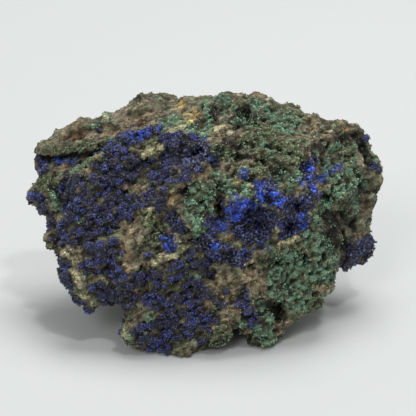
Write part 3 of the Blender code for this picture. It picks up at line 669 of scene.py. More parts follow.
@dataclass
class CrustMap:
    """Which packed crust lies over each place of the rock."""

    names: list[str] = field(default_factory=lambda: sorted(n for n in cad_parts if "crust" in n))

    def tree(self, name: str) -> BVHTree:
        """A search tree of a crust, in mm.

        Args:
            name: the crust's name.

        Returns:
            The tree of its faces.
        """
        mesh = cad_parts[name].data
        corners = [vert.co / MM for vert in mesh.vertices]
        return BVHTree.FromPolygons(corners, [tuple(face.vertices) for face in mesh.polygons])

    def rises(self, skin: Surface, reach: float) -> np.ndarray:
        """How far above each vertex the outside of a crust lies.

        Args:
            skin: the bare rock.
            reach: the highest crust that is looked for, in mm.

        Returns:
            Heights in mm, 0 where no crust lies.
        """
        heights = np.zeros(len(skin.points))
        for name in self.names:
            tree = self.tree(name)
            low = np.array(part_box(name)[0]) / MM - reach
            high = np.array(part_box(name)[1]) / MM + reach
            near = np.all((skin.points > low) & (skin.points < high), axis=1)
            for i in np.flatnonzero(near):
                point = Vector(skin.points[i])
                normal = Vector(skin.normals[i])
                hit = tree.ray_cast(point + normal * reach, -normal, reach)
                if hit[0] is not None:
                    heights[i] = max(heights[i], reach - hit[3])
        return heights

    def distances(self, points: np.ndarray, reach: float) -> dict[str, np.ndarray]:
        """How far each place is from each crust.

        Args:
            points: N places in mm.
            reach: distances past this count as this.

        Returns:
            N distances for each crust's name.
        """
        found = {}
        for name in self.names:
            tree = self.tree(name)
            low = np.array(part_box(name)[0]) / MM - reach
            high = np.array(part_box(name)[1]) / MM + reach
            near = np.all((points > low) & (points < high), axis=1)
            away = np.full(len(points), reach)
            for i in np.flatnonzero(near):
                hit = tree.find_nearest(Vector(points[i]), reach)
                if hit[0] is not None:
                    away[i] = hit[3]
            found[name] = away
        return found


@dataclass
class RockSkin:
    """The fine skin of the whole specimen, and what grows at each place on it."""

    rough_voxel: float = 0.62
    fine_voxel: float = 0.5
    crust_reach: float = 2.6
    crust_share: float = 0.75
    needle_reach: float = 0.75
    swell_height: float = 0.6
    ledge_height: float = 1.6
    crag_height: float = 1.5
    pit_depth: float = 1.3
    sinking: float = 0.1
    dome_height: float = 0.85
    dome_sinking: float = 0.45
    dome_stretch: float = 1.25
    dome_radii: tuple[float, float] = (0.7, 1.4)
    dome_spacings: tuple[float, float] = (1.35, 2.3)
    seed: int = 11

    def build(self) -> None:
        """Makes the skin and spreads the minerals over it."""
        self.crusts = CrustMap()
        self.lay_rock()
        self.carve()
        self.skin = self.skin.remade(self.fine_voxel)
        self.survey()
        self.spread_minerals()
        self.swell_domes()
        self.roughen()
        self.find_hollows()
        self.paint()

    def lay_rock(self) -> None:
        """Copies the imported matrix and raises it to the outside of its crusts."""
        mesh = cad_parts["limonite_matrix"].data.copy()
        skin = Surface(mesh)
        skin.points /= MM
        skin.refresh()
        skin = skin.remade(self.rough_voxel)
        skin.points = skin.averaged(skin.points, 1)
        skin.refresh()
        rises = self.crusts.rises(skin, self.crust_reach)
        rises = skin.averaged(rises * self.crust_share, 5)
        skin.push(rises)
        self.skin = skin
        self.blunt()

    def carve(self) -> None:
        """Cuts the sharp ledges and clefts of the front, and breaks up every side with crags and pits."""
        skin = self.skin
        points = skin.points
        self.survey()
        places = LeaningFrame.charted(points)
        heights = np.zeros(len(points))
        for relief in RELIEFS:
            heights += relief.heights(places)
        heights *= self.front
        sunk = np.zeros(len(points))
        for hollow in HOLLOWS:
            away = np.linalg.norm(places - (hollow.x, hollow.y), axis=1)
            away = away / hollow.radius + 0.18 * Noise.HOLLOW_RIMS.at(points)
            sunk = np.maximum(sunk, hollow.depth * ramp(1.1 - away, 0.0, 0.5))
        points += (sunk * self.front)[:, None] * LeaningFrame.AXES[2]
        bedded = along_beds(points, 1.7)
        ledges = 0.2 - np.abs(Noise.LEDGES.at(bedded))
        crags = 0.2 - np.abs(Noise.CRAGS.at(bedded))
        pits = ramp(Noise.PITS.at(points), 0.26, 0.6)
        raised = self.swell_height * Noise.SWELLS.at(points)
        raised = raised + self.ledge_height * ledges + self.crag_height * crags
        heights += raised - self.pit_depth * pits - self.sinking
        heights += sum(bedding.heights(points) for bedding in BEDDINGS)
        skin.push(heights)

    def survey(self) -> None:
        """Finds how much of each place the chart shows, from 0 to 1."""
        skin = self.skin
        corners = [Vector(point) for point in skin.points]
        tree = BVHTree.FromPolygons(corners, [tuple(face.vertices) for face in skin.mesh.polygons])
        eye = LeaningFrame.eye()
        away = skin.points - eye
        distance = np.linalg.norm(away, axis=1)
        facing = -np.einsum("ij,ij->i", away, skin.normals) / distance
        start = Vector(eye)
        lag = np.full(len(skin.points), 99.0)
        for i in np.flatnonzero(facing > -0.35):
            hit = tree.ray_cast(start, Vector(away[i]))
            if hit[0] is not None:
                lag[i] = distance[i] - hit[3]
        shown = ramp(facing, -0.3, -0.05) * (1 - ramp(lag, 2.0, 3.5))
        self.front = skin.averaged(shown, 2)

    def spread_minerals(self) -> None:
        """Works out how much of each mineral covers each place."""
        points = self.skin.points
        ragged = 0.42 * Noise.FINE_BORDERS.at(points) + 0.30 * Noise.BROAD_BORDERS.at(points)
        wander = np.stack((Noise.WANDER_ACROSS.at(points), Noise.WANDER_DOWN.at(points)), axis=1) * 3.0
        places = LeaningFrame.charted(points) + wander
        self.fields = {}
        for mineral, streaks in STREAKS.items():
            closeness = np.full(len(points), -9.0)
            for streak in streaks:
                away = strip_distance(places, (streak.x0, streak.y0), (streak.x1, streak.y1))
                closeness = np.maximum(closeness, 1.15 - away / streak.reach)
            self.fields[mineral] = ramp(closeness + ragged, -0.15, 0.35) * self.front
        self.spread_unseen(ragged)
        self.break_up()

    def spread_unseen(self, ragged: np.ndarray) -> None:
        """Adds what grows on the sides that the chart doesn't show.

        Args:
            ragged: noise that roughens the borders.
        """
        points = self.skin.points
        unseen = 1 - self.front
        self.away = self.crusts.distances(points, 3.0)
        for mineral in (Mineral.AZURITE, Mineral.MALACHITE):
            names = [name for name in self.crusts.names if name.startswith(mineral.value)]
            nearest = np.min([self.away[name] for name in names], axis=0)
            covered = ramp(1.2 - nearest + ragged, 0.0, 0.35)
            self.fields[mineral] = np.maximum(self.fields[mineral], covered * unseen)
        behind = 1 - ramp(self.skin.averaged(self.front, 25), 0.0, 0.06)
        for mineral, patches in OFF_THE_CHART.items():
            hidden = behind if mineral in FAR_ROUND else unseen
            amount = patches.amount(points, ragged) * hidden
            self.fields[mineral] = np.maximum(self.fields[mineral], amount)

    def break_up(self) -> None:
        """Frays the thin coats, so that the rock shows through them in flecks."""
        points = self.skin.points
        for mineral, fray in FRAYS.items():
            self.fields[mineral] *= fray.amount(points)

    def cluster_centres(self, chance: np.random.Generator) -> list[tuple[np.ndarray, float]]:
        """Picks where azurite clusters grow: crowded inside their zones, with bare bands between them.

        Args:
            chance: the source of the picks.

        Returns:
            The place and radius of each cluster.
        """
        beds = along_beds(self.skin.points, 2.4)
        bare = ramp(Noise.BARE_BANDS.at(beds), -0.04, 0.12) * (1 - self.fields[Mineral.DRUSE])
        zone = self.fields[Mineral.AZURITE]
        # the bare bands get painted shade in paint()
        self.bared = zone * bare
        zone *= 1 - 0.92 * bare
        order = chance.permutation(np.flatnonzero(zone > 0.05))
        cell = self.dome_spacings[1]
        kept: list[tuple[np.ndarray, float]] = []
        cells: dict[tuple[int, ...], list[np.ndarray]] = {}
        for i in order:
            if chance.random() > zone[i] ** 1.5:
                continue
            point = self.skin.points[i]
            radius = chance.uniform(*self.dome_radii)
            spacing = chance.uniform(*self.dome_spacings)
            home = np.floor(point / cell).astype(int)
            beside = [
                other
                for step in np.ndindex(3, 3, 3)
                for other in cells.get(tuple(home + np.array(step) - 1), ())
            ]
            if all(np.linalg.norm(other - point) > spacing for other in beside):
                cells.setdefault(tuple(home), []).append(point)
                kept.append((point, radius))
        return kept

    def swell_domes(self) -> None:
        """Raises the rounded clusters that the azurite grows on, with a tone and a lit crest each."""
        skin = self.skin
        chance = np.random.default_rng(self.seed)
        centres = self.cluster_centres(chance)
        tree = KDTree(len(centres))
        for number, (point, _) in enumerate(centres):
            tree.insert(along_beds(point[None], self.dome_stretch)[0], number)
        tree.balance()
        spots = along_beds(skin.points, self.dome_stretch)
        domes = np.zeros(len(skin.points))
        self.tone = ramp(Noise.CLUSTER_TONES.at(skin.points), -0.8, 0.8)
        tones = chance.uniform(0, 1, len(centres))
        self.crest = np.zeros(len(skin.points))
        for i in np.flatnonzero(self.fields[Mineral.AZURITE] > 0.02):
            _, number, away = tree.find(Vector(spots[i]))
            share = 1 - (away / centres[number][1]) ** 2
            self.crest[i] = math.sqrt(max(share, 0.0))
            domes[i] = centres[number][1] * self.crest[i]
            self.tone[i] = tones[number]
        log.info("azurite clusters: %d", len(centres))
        zone = self.fields[Mineral.AZURITE]
        # the gaps between clusters get painted shade in paint()
        self.gaps = zone * (1 - ramp(domes, 0.15, 0.5)) * (1 - self.fields[Mineral.DRUSE])
        self.crest = np.maximum(self.crest, 0.8 * self.fields[Mineral.DRUSE])
        self.fields[Mineral.AZURITE] = np.maximum(ramp(domes, 0.1, 0.4), self.fields[Mineral.DRUSE])
        skin.push(domes * self.dome_height - self.dome_sinking * zone)

    def roughen(self) -> None:
        """Gives each mineral its own grain, finer low on the front: pitted moss, lumps, blue sugar."""
        skin = self.skin
        points = skin.points
        green = self.fields[Mineral.MALACHITE]
        blue = self.fields[Mineral.AZURITE]
        earth = np.clip(1 - green - blue, 0, 1)
        bedded = along_beds(points, 1.4)
        lumpy = 0.9 * (0.2 - np.abs(Noise.EARTH_LUMPS.at(bedded)))
        lumpy = lumpy + 0.3 * Noise.EARTH_GRAIN.at(bedded)
        veins = np.abs(Noise.MOSS_VEINS.at(points))
        pitted = 0.6 - 2.1 * veins + 0.3 * Noise.MOSS_GRAIN.at(points)
        self.web = np.clip(1.05 - 3.2 * veins + 0.35 * Noise.MOSS_WEB.at(points), 0, 1)
        sugary = 0.16 * Noise.BLUE_SUGAR.at(points)
        moss = np.clip(np.maximum(green, self.fields[Mineral.MOSS] * 0.7), 0, 1 - blue)
        chipped = np.random.default_rng(self.seed + 1).normal(0, 0.045, len(points))
        self.detail = 1 - 0.55 * ramp(LeaningFrame.upright(points)[:, 2], 2.0, 9.0) * self.front
        skin.push((earth * (lumpy + chipped) + moss * pitted + blue * sugary) * self.detail)
        self.blunt()
        skin.points[:, 2] = np.maximum(skin.points[:, 2], 0.0)
        skin.refresh()

    def blunt(self) -> None:
        """Draws in every needle of rock that stands too far out of the surface round it."""
        skin = self.skin
        round_about = skin.averaged(skin.points, 6)
        out = skin.points - round_about
        excess = np.linalg.norm(out, axis=1) / self.needle_reach
        skin.points = round_about + out / np.maximum(excess, 1)[:, None]
        skin.refresh()

    def find_hollows(self) -> None:
        """Works out the painted light: a painted highlight on the tips, and painted shade in the crevices and
        hollows.
        """
        skin = self.skin
        wide = skin.averaged(skin.points, 30)
        narrow = skin.averaged(skin.points, 6)
        hollow = np.einsum("ij,ij->i", wide - skin.points, skin.normals)
        crevice = np.einsum("ij,ij->i", narrow - skin.points, skin.normals)
        tip_highlight = 1 + 0.6 * ramp(-crevice, 0.0, 0.3)
        crevice_and_hollow_shade = 1 - np.clip(0.62 * ramp(crevice, 0.0, 0.22) + 0.4 * ramp(hollow, 0.1, 1.1), 0, 0.9)
        self.tip_light_and_crevice_shade = tip_highlight * crevice_and_hollow_shade

    def paint(self) -> None:
        """Mixes the colour of every place, with painted shade in the recesses, in the gaps between the
        azurite clusters and in the bare bands among them.
        """
        palette = Palette()
        # painted shade: dark recesses, the gaps between the azurite clusters and the bare bands among them
        dark = np.clip(self.fields[Mineral.SHADE] + 0.62 * self.gaps + 0.3 * self.bared, 0, 1)
        self.tints = palette.mixed(self.skin.points, self.fields, self.web)
        self.tints = palette.shaded(self.skin.points, self.tints, dark, self.tip_light_and_crevice_shade)

    def dress(self, material: bpy.types.Material) -> bpy.types.Object:
        """Hands the skin over as the piece that stands for the matrix.

        Args:
            material: its finish.

        Returns:
            The piece.
        """
        mesh = self.skin.mesh
        mesh.name = "limonite_skin"
        store_colour(mesh, self.tints)
        mesh.vertices.foreach_set("co", (self.skin.points * MM).ravel())
        mesh.shade_flat()
        mesh.update()
        piece = hand_over(mesh, material, "limonite")
        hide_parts("limonite_matrix")
        return piece


@dataclass(frozen=True)
class Palette:
    """The colours of the earths and minerals, as seen in plain daylight."""

    umber: tuple[float, float, float] = (54, 47, 37)
    taupe: tuple[float, float, float] = (122, 111, 91)
    verdigris: tuple[float, float, float] = (92, 122, 96)
    ash: tuple[float, float, float] = (176, 170, 146)
    ink: tuple[float, float, float] = (14, 14, 26)
    navy: tuple[float, float, float] = (26, 28, 62)
    royal: tuple[float, float, float] = (52, 84, 190)
    midnight: tuple[float, float, float] = (14, 15, 29)
    sapphire: tuple[float, float, float] = (43, 54, 122)
    slate: tuple[float, float, float] = (110, 114, 140)
    pine: tuple[float, float, float] = (30, 36, 26)
    sea: tuple[float, float, float] = (122, 160, 130)
    olive: tuple[float, float, float] = (122, 141, 110)
    moss: tuple[float, float, float] = (88, 96, 66)
    cream: tuple[float, float, float] = (180, 172, 134)
    ochre: tuple[float, float, float] = (184, 154, 86)
    tan: tuple[float, float, float] = (144, 124, 98)
    rust: tuple[float, float, float] = (140, 97, 58)

    def mixed(
        self, points: np.ndarray, fields: dict[Mineral, np.ndarray], web: np.ndarray
    ) -> np.ndarray:
        """The clean colour of every place.

        Args:
            points: N places in mm.
            fields: the amount of each mineral.
            web: from 0 in the pits between the malachite's ridges to 1 along them.

        Returns:
            N linear colours.
        """
        broad = Noise.ROCK_PATCHES.at(along_beds(points, 2.5))[:, None]
        fine = Noise.ROCK_FLECKS.at(points)[:, None]
        streaky = Noise.ROCK_STREAKS.at(along_beds(points, 3.5))[:, None]
        shade = ramp(broad + 0.5 * fine + 0.6 * streaky, -0.5, 0.6)
        light = ramp(streaky + 0.5 * broad, 0.2, 0.8)
        colour = linear(*self.umber) * (1 - shade) + linear(*self.taupe) * shade
        colour = colour * (1 - 0.5 * light) + linear(*self.ash) * 0.5 * light
        green_film = 0.6 * ramp(Noise.GREEN_FILM.at(along_beds(points, 2.5)), 0.0, 0.45)[:, None]
        colour = colour * (1 - green_film) + linear(*self.moss) * green_film
        verdigris = 0.62 * ramp(Noise.VERDIGRIS.at(along_beds(points, 1.7)), 0.12, 0.5)[:, None]
        colour = colour * (1 - verdigris) + linear(*self.verdigris) * verdigris
        leafy = ramp(fine, -0.6, 0.5)
        ridged = np.clip(0.7 * web[:, None] + 0.3 * leafy, 0, 1)
        covered = 0.12 + 0.73 * ridged
        green = linear(*self.pine) * (1 - covered) + linear(*self.sea) * 0.7 * covered
        mossy = linear(*self.umber) * 0.8 * (1 - ridged) + linear(*self.moss) * ridged
        blue = linear(*self.ink) * (1 - leafy) + linear(*self.navy) * leafy
        layers = (
            (Mineral.MOSS, mossy, 0.85),
            (Mineral.TAN, linear(*self.tan), 0.65),
            (Mineral.RUST, linear(*self.rust), 0.7),
            (Mineral.MALACHITE, green, 0.9),
            (Mineral.CREAM, linear(*self.cream), 0.7),
            (Mineral.OCHRE, linear(*self.ochre), 0.85),
            (Mineral.AZURITE, blue, 0.97),
            (Mineral.ROYAL, linear(*self.royal), 0.85),
        )
        for mineral, tint, strength in layers:
            share = fields[mineral][:, None] * strength * (0.85 + 0.3 * fine)
            share = np.clip(share, 0, 1)
            colour = colour * (1 - share) + tint * share
        return colour

    def shaded(
        self, points: np.ndarray, colour: np.ndarray, dark: np.ndarray, tip_light_and_crevice_shade: np.ndarray
    ) -> np.ndarray:
        """Colours with painted shade in the crevices and recesses, a painted highlight on the tips, and
        speckles.

        Args:
            points: N places in mm.
            colour: their clean colours.
            dark: how much painted shade each place gets, in the dark recesses and between the azurite
                clusters.
            tip_light_and_crevice_shade: how many times lighter the painted tip highlight and crevice shade
                make it.

        Returns:
            N linear colours.
        """
        grit = np.random.default_rng(68).normal(0, 0.24, len(points))[:, None]
        speckle = np.clip(1 + 0.35 * Noise.SPECKLES.at(points)[:, None] + grit, 0.3, 1.8)
        # painted light: lighter tips, and painted shade in crevices, recesses and the gaps between clusters
        return np.clip(colour * speckle * (tip_light_and_crevice_shade * (1 - 0.85 * dark))[:, None], 0.002, 0.9)


def store_colour(mesh: bpy.types.Mesh, tints: np.ndarray) -> None:
    """Keeps a colour on every vertex, for the finish to read.

    Args:
        mesh: the mesh that keeps them.
        tints: a linear colour for each vertex.
    """
    layer = mesh.color_attributes.new("tint", "FLOAT_COLOR", "POINT")
    rows = np.ones((len(tints), 4))
    rows[:, :3] = tints
    layer.data.foreach_set("color", rows.ravel())


def store_number(mesh: bpy.types.Mesh, name: str, values: np.ndarray) -> None:
    """Keeps a number on every vertex, for the finish to read."""
    mesh.attributes.new(name, "FLOAT", "POINT").data.foreach_set("value", values)


def hand_over(mesh: bpy.types.Mesh, material: bpy.types.Material, slot: str) -> bpy.types.Object:
    """Puts a finished mesh in the scene as a piece of the specimen.

    Args:
        mesh: the mesh in metres; its name becomes the piece's.
        material: its finish.
        slot: the record's material slot it is made of; not used.

    Returns:
        The piece.
    """
    mesh.materials.clear()
    mesh.materials.append(material)
    piece = bpy.data.objects.new(mesh.name, mesh)
    bpy.context.scene.collection.objects.link(piece)
    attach(piece, "root")
    log.info("%s: %d faces", piece.name, len(mesh.polygons))
    return piece


@dataclass(frozen=True)
class Grain:
    """The shape of one small solid: its corners, on a unit scale, and its triangles."""

    corners: np.ndarray
    faces: np.ndarray

    @classmethod
    def prism(cls) -> "Grain":
        """A four-sided crystal with a slanting end, standing on its root.

        Returns:
            The grain.
        """
        ring = np.array(((0.5, 0.0), (0.0, 0.38), (-0.5, 0.0), (0.0, -0.38)))
        low = np.c_[ring * 0.8, np.full(4, -0.5)]
        high = np.c_[ring, (1.15, 0.85, 0.6, 0.85)]
        sides = [(i, (i + 1) % 4, 4 + (i + 1) % 4) for i in range(4)]
        sides += [(i, 4 + (i + 1) % 4, 4 + i) for i in range(4)]
        ends = [(4, 5, 6), (4, 6, 7), (2, 1, 0), (3, 2, 0)]
        return cls(np.concatenate((low, high)), np.array(sides + ends))

    @classmethod
    def blade(cls) -> "Grain":
        """A flat-faced crystal that comes to an off-centre point.

        Returns:
            The grain.
        """
        ring = ((0.5, 0.12, 0.1), (-0.08, 0.36, 0.0), (-0.5, -0.1, 0.15), (0.1, -0.36, -0.05))
        corners = np.array((*ring, (0.14, 0.06, 1.1), (0.0, 0.0, -0.6)))
        faces = [(i, (i + 1) % 4, 4) for i in range(4)] + [((i + 1) % 4, i, 5) for i in range(4)]
        return cls(corners, np.array(faces))

    @classmethod
    def crumb(cls) -> "Grain":
        """A squat eight-faced crumb.

        Returns:
            The grain.
        """
        corners = np.array((
            (0.5, 0, 0), (0, 0.5, 0), (-0.5, 0, 0), (0, -0.5, 0), (0, 0, 0.5), (0, 0, -0.5),
        ), float)
        faces = [(i, (i + 1) % 4, 4) for i in range(4)] + [((i + 1) % 4, i, 5) for i in range(4)]
        return cls(corners, np.array(faces))

    @classmethod
    def nodule(cls) -> "Grain":
        """A rounded twenty-faced grain.

        Returns:
            The grain.
        """
        golden = (1 + math.sqrt(5)) / 2
        corners = np.array([
            (-1, golden, 0), (1, golden, 0), (-1, -golden, 0), (1, -golden, 0),
            (0, -1, golden), (0, 1, golden), (0, -1, -golden), (0, 1, -golden),
            (golden, 0, -1), (golden, 0, 1), (-golden, 0, -1), (-golden, 0, 1),
        ])
        corners *= 0.5 / np.linalg.norm(corners[0])
        faces = [
            (0, 11, 5), (0, 5, 1), (0, 1, 7), (0, 7, 10), (0, 10, 11), (1, 5, 9), (5, 11, 4),
            (11, 10, 2), (10, 7, 6), (7, 1, 8), (3, 9, 4), (3, 4, 2), (3, 2, 6), (3, 6, 8),
            (3, 8, 9), (4, 9, 5), (2, 4, 11), (6, 2, 10), (8, 6, 7), (9, 8, 1),
        ]
        return cls(corners, np.array(faces))


@dataclass(frozen=True)
class Crop:
    """How one kind of small solid grows.

    It strays this far sideways in mm, leans by this slope, and is this wide and high in mm at least and
    at most. Its corners wobble by this share of its size. Its tip is painted lighter than its middle by the
    last share, and its root painted darker: a painted highlight on the tip and painted shade at the root.
    """

    grain: Grain
    spread: float
    tilt: float
    widths: tuple[float, float]
    heights: tuple[float, float]
    wobble: float
    fade: float


@dataclass
class Growth:
    """Many small solids grown out of the skin: where, which way up, how large and in what colour."""

    roots: np.ndarray
    ups: np.ndarray
    sizes: np.ndarray
    tints: np.ndarray
    glosses: np.ndarray

    def grown(self, crop: Crop, chance: np.random.Generator) -> tuple[np.ndarray, ...]:
        """Every solid's corners and triangles.

        Args:
            crop: the kind that they are.
            chance: the source of the wobbles and turns.

        Returns:
            Corners, triangles, and the colour and gloss of every corner.
        """
        count = len(self.roots)
        grain = crop.grain
        turn = chance.uniform(0, 2 * math.pi, count)
        helper = np.where(np.abs(self.ups[:, 2:]) < 0.9, (0.0, 0.0, 1.0), (1.0, 0.0, 0.0))
        across = np.cross(self.ups, helper)
        across /= np.linalg.norm(across, axis=1)[:, None]
        beside = np.cross(self.ups, across)
        first = across * np.cos(turn)[:, None] + beside * np.sin(turn)[:, None]
        second = np.cross(self.ups, first)
        axes = np.stack((first, second, self.ups), axis=1)
        corners = np.repeat(grain.corners[None], count, axis=0)
        corners = corners + chance.normal(0, crop.wobble, corners.shape)
        corners = corners * self.sizes[:, None, :]
        placed = np.einsum("nki,nij->nkj", corners, axes) + self.roots[:, None, :]
        steps = np.arange(count)[:, None, None] * len(grain.corners)
        faces = grain.faces[None] + steps
        # painted light: each corner lighter towards the tip and darker towards the root
        up = grain.corners[:, 2] / np.abs(grain.corners[:, 2]).max()
        tints = (self.tints[:, None, :] * (1 + crop.fade * up)[None, :, None]).reshape(-1, 3)
        glosses = np.repeat(self.glosses, len(grain.corners))
        return placed.reshape(-1, 3), faces.reshape(-1, 3), tints, glosses


def joined(name: str, parts: list[tuple[np.ndarray, ...]]) -> bpy.types.Mesh:
    """One mesh, in metres, of several batches of grown solids.

    Args:
        name: the mesh's name.
        parts: what Growth.grown returned for each batch.

    Returns:
        The mesh, with its colours and gloss stored.
    """
    offset = 0
    corners, faces = [], []
    for part in parts:
        corners.append(part[0])
        faces.append(part[1] + offset)
        offset += len(part[0])
    places = np.concatenate(corners)
    places[:, 2] = np.maximum(places[:, 2], 0.0)
    triangles = np.concatenate(faces)
    mesh = bpy.data.meshes.new(name)
    mesh.vertices.add(len(places))
    mesh.vertices.foreach_set("co", (places * MM).ravel())
    mesh.loops.add(triangles.size)
    mesh.loops.foreach_set("vertex_index", triangles.ravel().astype(np.int32))
    mesh.polygons.add(len(triangles))
    mesh.polygons.foreach_set("loop_start", np.arange(0, triangles.size, 3, dtype=np.int32))
    mesh.update(calc_edges=True)
    store_colour(mesh, np.concatenate([part[2] for part in parts]))
    store_number(mesh, "gloss", np.concatenate([part[3] for part in parts]))
    return mesh


Crops = tuple[tuple[np.ndarray, Crop], ...]  # the vertices that each kind grows from


@dataclass
class Planter:
    """Picks roots on the skin and sets out what grows from them."""

    skin: RockSkin
    seed: int
    farthest: float = 1.2  # how many times its spread a root strays at most

    def __post_init__(self) -> None:
        """Starts this planter's own run of chance."""
        self.chance = np.random.default_rng(self.seed)

    def set_out(self, which: np.ndarray, crop: Crop) -> Growth:
        """Growth at the chosen vertices of the skin, lower where the skin's detail is finer.

        Args:
            which: the vertices' numbers.
            crop: the kind that grows there.

        Returns:
            The growth, coloured as the skin.
        """
        skin = self.skin.skin
        count = len(which)
        ups = skin.normals[which] + self.chance.normal(0, crop.tilt, (count, 3))
        ups /= np.linalg.norm(ups, axis=1)[:, None]
        reach = self.farthest * crop.spread
        stray = np.clip(self.chance.normal(0, crop.spread, (count, 3)), -reach, reach)
        stray -= skin.normals[which] * np.einsum("ij,ij->i", stray, skin.normals[which])[:, None]
        wide = self.chance.uniform(*crop.widths, count)
        narrow = wide * self.chance.uniform(0.7, 1.0, count)
        tall = self.chance.uniform(*crop.heights, count) * (0.25 + 0.75 * self.skin.detail[which])
        sizes = np.stack((wide, narrow, tall), axis=1)
        glosses = self.chance.uniform(0, 1, count)
        return Growth(skin.points[which] + stray, ups, sizes, self.skin.tints[which], glosses)

    def nearest_crust(self, which: np.ndarray, mineral: str, reach: float) -> np.ndarray:
        """The name of the crust each vertex belongs to, or '' for none within reach.

        Args:
            which: the vertices' numbers.
            mineral: the crusts' mineral.
            reach: the greatest distance in mm.

        Returns:
            An array of names.
        """
        names = [name for name in self.skin.crusts.names if name.startswith(mineral)]
        table = np.stack([self.skin.away[name][which] for name in names])
        nearest = np.array(names)[np.argmin(table, axis=0)]
        return np.where(np.min(table, axis=0) < reach, nearest, "")

    def colour(self, growth: Growth, roots: np.ndarray, owner: str) -> None:
        """Gives every solid its own colour; each kind of planter does it in its own way.

        Args:
            growth: the solids, whose colours are replaced.
            roots: the skin's vertices they grow from.
            owner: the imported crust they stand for, or '' for none.
        """
        raise NotImplementedError

    def grown(self, name: str, owner: str, crops: Crops) -> bpy.types.Mesh:
        """One mesh of several crops.

        Args:
            name: the mesh's name.
            owner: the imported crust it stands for, or '' for none.
            crops: the skin's vertices that each kind grows from.

        Returns:
            The mesh, in metres.
        """
        growths = [self.set_out(roots, crop) for roots, crop in crops]
        parts = []
        for (roots, crop), growth in zip(crops, growths):
            self.colour(growth, roots, owner)
            parts.append(growth.grown(crop, self.chance))
        return joined(name, parts)


@dataclass
class CrustPlanter(Planter):
    """A planter that grows one mineral, in one piece for each packed crust and one for what strays."""

    crust_reach: float = 2.9
    mineral = ""
    crust_word = ""
    stray_name = ""

    def sown(self, owner: str, mine: np.ndarray) -> Crops:
        """What grows on one crust; each kind of planter sows its own.

        Args:
            owner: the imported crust, or '' for none.
            mine: the skin's vertices it has.

        Returns:
            The crops.
        """
        raise NotImplementedError

    def planted(self, which: np.ndarray, material: bpy.types.Material) -> list[bpy.types.Object]:
        """Grows the pieces of every crust, and one of what strays.

        Args:
            which: the skin's vertices that the mineral grows from.
            material: their finish.

        Returns:
            The pieces.
        """
        owners = self.nearest_crust(which, self.mineral, self.crust_reach)
        made = []
        for owner in [name for name in self.skin.crusts.names if name.startswith(self.mineral)] + [""]:
            mine = which[owners == owner]
            if len(mine):
                made.append(self.piece(owner, mine, material))
        return made

    def piece(self, owner: str, mine: np.ndarray, material: bpy.types.Material) -> bpy.types.Object:
        """Grows what stands for one crust.

        Args:
            owner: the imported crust, or '' for what strays.
            mine: the skin's vertices it grows from.
            material: its finish.

        Returns:
            The piece.
        """
        name = owner.replace("crust", self.crust_word) if owner else self.stray_name
        piece = hand_over(self.grown(name, owner, self.sown(owner, mine)), material, self.mineral)
        if owner:
            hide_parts(owner)
        return piece


@dataclass
class AzuriteDruse(CrustPlanter):
    """The azurite: glassy little crystals in rounded clusters, and matt royal-blue powder."""

    seed: int = 101
    least_amount: float = 0.5
    share_behind: float = 0.7
    mineral = "azurite"
    crust_word = "druse"
    stray_name = "azurite_specks"
    GLOBE_PRISMS = Crop(Grain.prism(), 0.15, 0.22, (0.36, 0.64), (0.12, 0.26), 0.07, 0.22)
    GLOBE_BLADES = Crop(Grain.blade(), 0.25, 0.4, (0.28, 0.5), (0.16, 0.36), 0.07, 0.22)
    WALL_BLADES = Crop(Grain.blade(), 0.2, 0.5, (0.35, 0.65), (0.2, 0.5), 0.07, 0.3)
    WALL_PRISMS = Crop(Grain.prism(), 0.22, 0.55, (0.45, 0.95), (0.45, 0.95), 0.07, 0.6)

    def colour(self, growth: Growth, roots: np.ndarray, owner: str) -> None:
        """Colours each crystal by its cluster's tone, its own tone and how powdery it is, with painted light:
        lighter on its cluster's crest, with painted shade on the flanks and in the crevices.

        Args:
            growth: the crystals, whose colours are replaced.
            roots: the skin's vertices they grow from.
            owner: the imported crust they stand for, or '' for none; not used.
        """
        count = len(roots)
        palette = Palette()
        tone = self.skin.tone[roots] + self.chance.normal(0, 0.16, count)
        shade = ramp(tone + 0.35 * Noise.CRYSTAL_TONES.at(growth.roots), 0.25, 1.15)[:, None]
        deep = linear(*palette.midnight) * (1 - shade) + linear(*palette.sapphire) * shade
        # painted shade: crystals in the hollows a little darker
        deep = deep * (1 - 0.15 * self.skin.fields[Mineral.DRUSE][roots][:, None])
        dusty = ramp((tone * 7.3) % 1.0 + self.chance.normal(0, 0.1, count), 0.62, 0.9)
        dusty = 0.4 * dusty[:, None]
        mixed = deep * (1 - dusty) + linear(*palette.slate) * dusty
        bright = linear(*palette.royal) * self.chance.uniform(0.5, 1.25, (count, 1))
        amount = self.skin.fields[Mineral.ROYAL][roots]
        powder = amount[:, None]
        # painted light: lighter on a cluster's crest and on tips, painted shade on its flanks and in crevices
        lit = self.skin.tip_light_and_crevice_shade[roots] * (0.35 + 0.85 * self.skin.crest[roots])
        growth.tints = (mixed * (1 - powder) + bright * powder) * lit[:, None]
        growth.glosses = growth.glosses**2 * (1 - 0.9 * amount)

    def pieces(self, material: bpy.types.Material) -> list[bpy.types.Object]:
        """Grows every azurite piece, one for each packed crust and one for the stray specks.

        Args:
            material: their finish.

        Returns:
            The pieces.
        """
        skin = self.skin
        blue = np.maximum(skin.fields[Mineral.AZURITE], skin.fields[Mineral.ROYAL])
        which = np.flatnonzero(blue > self.least_amount)
        kept = self.chance.random(len(which)) < self.share_behind
        return self.planted(which[(skin.front[which] > IN_VIEW) | kept], material)

    def sown(self, owner: str, mine: np.ndarray) -> Crops:
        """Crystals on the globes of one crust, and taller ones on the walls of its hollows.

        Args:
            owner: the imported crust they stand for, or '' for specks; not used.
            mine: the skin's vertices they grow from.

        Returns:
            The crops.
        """
        open_druse = self.skin.fields[Mineral.DRUSE][mine] > 0.5
        globes = mine[~open_druse]
        more = globes[self.chance.random(len(globes)) < 0.45]
        walls = mine[open_druse]
        tall = walls[self.chance.random(len(walls)) < 0.4]
        return (
            (globes, self.GLOBE_PRISMS),
            (more, self.GLOBE_BLADES),
            (walls, self.WALL_BLADES),
            (tall, self.WALL_PRISMS),
        )


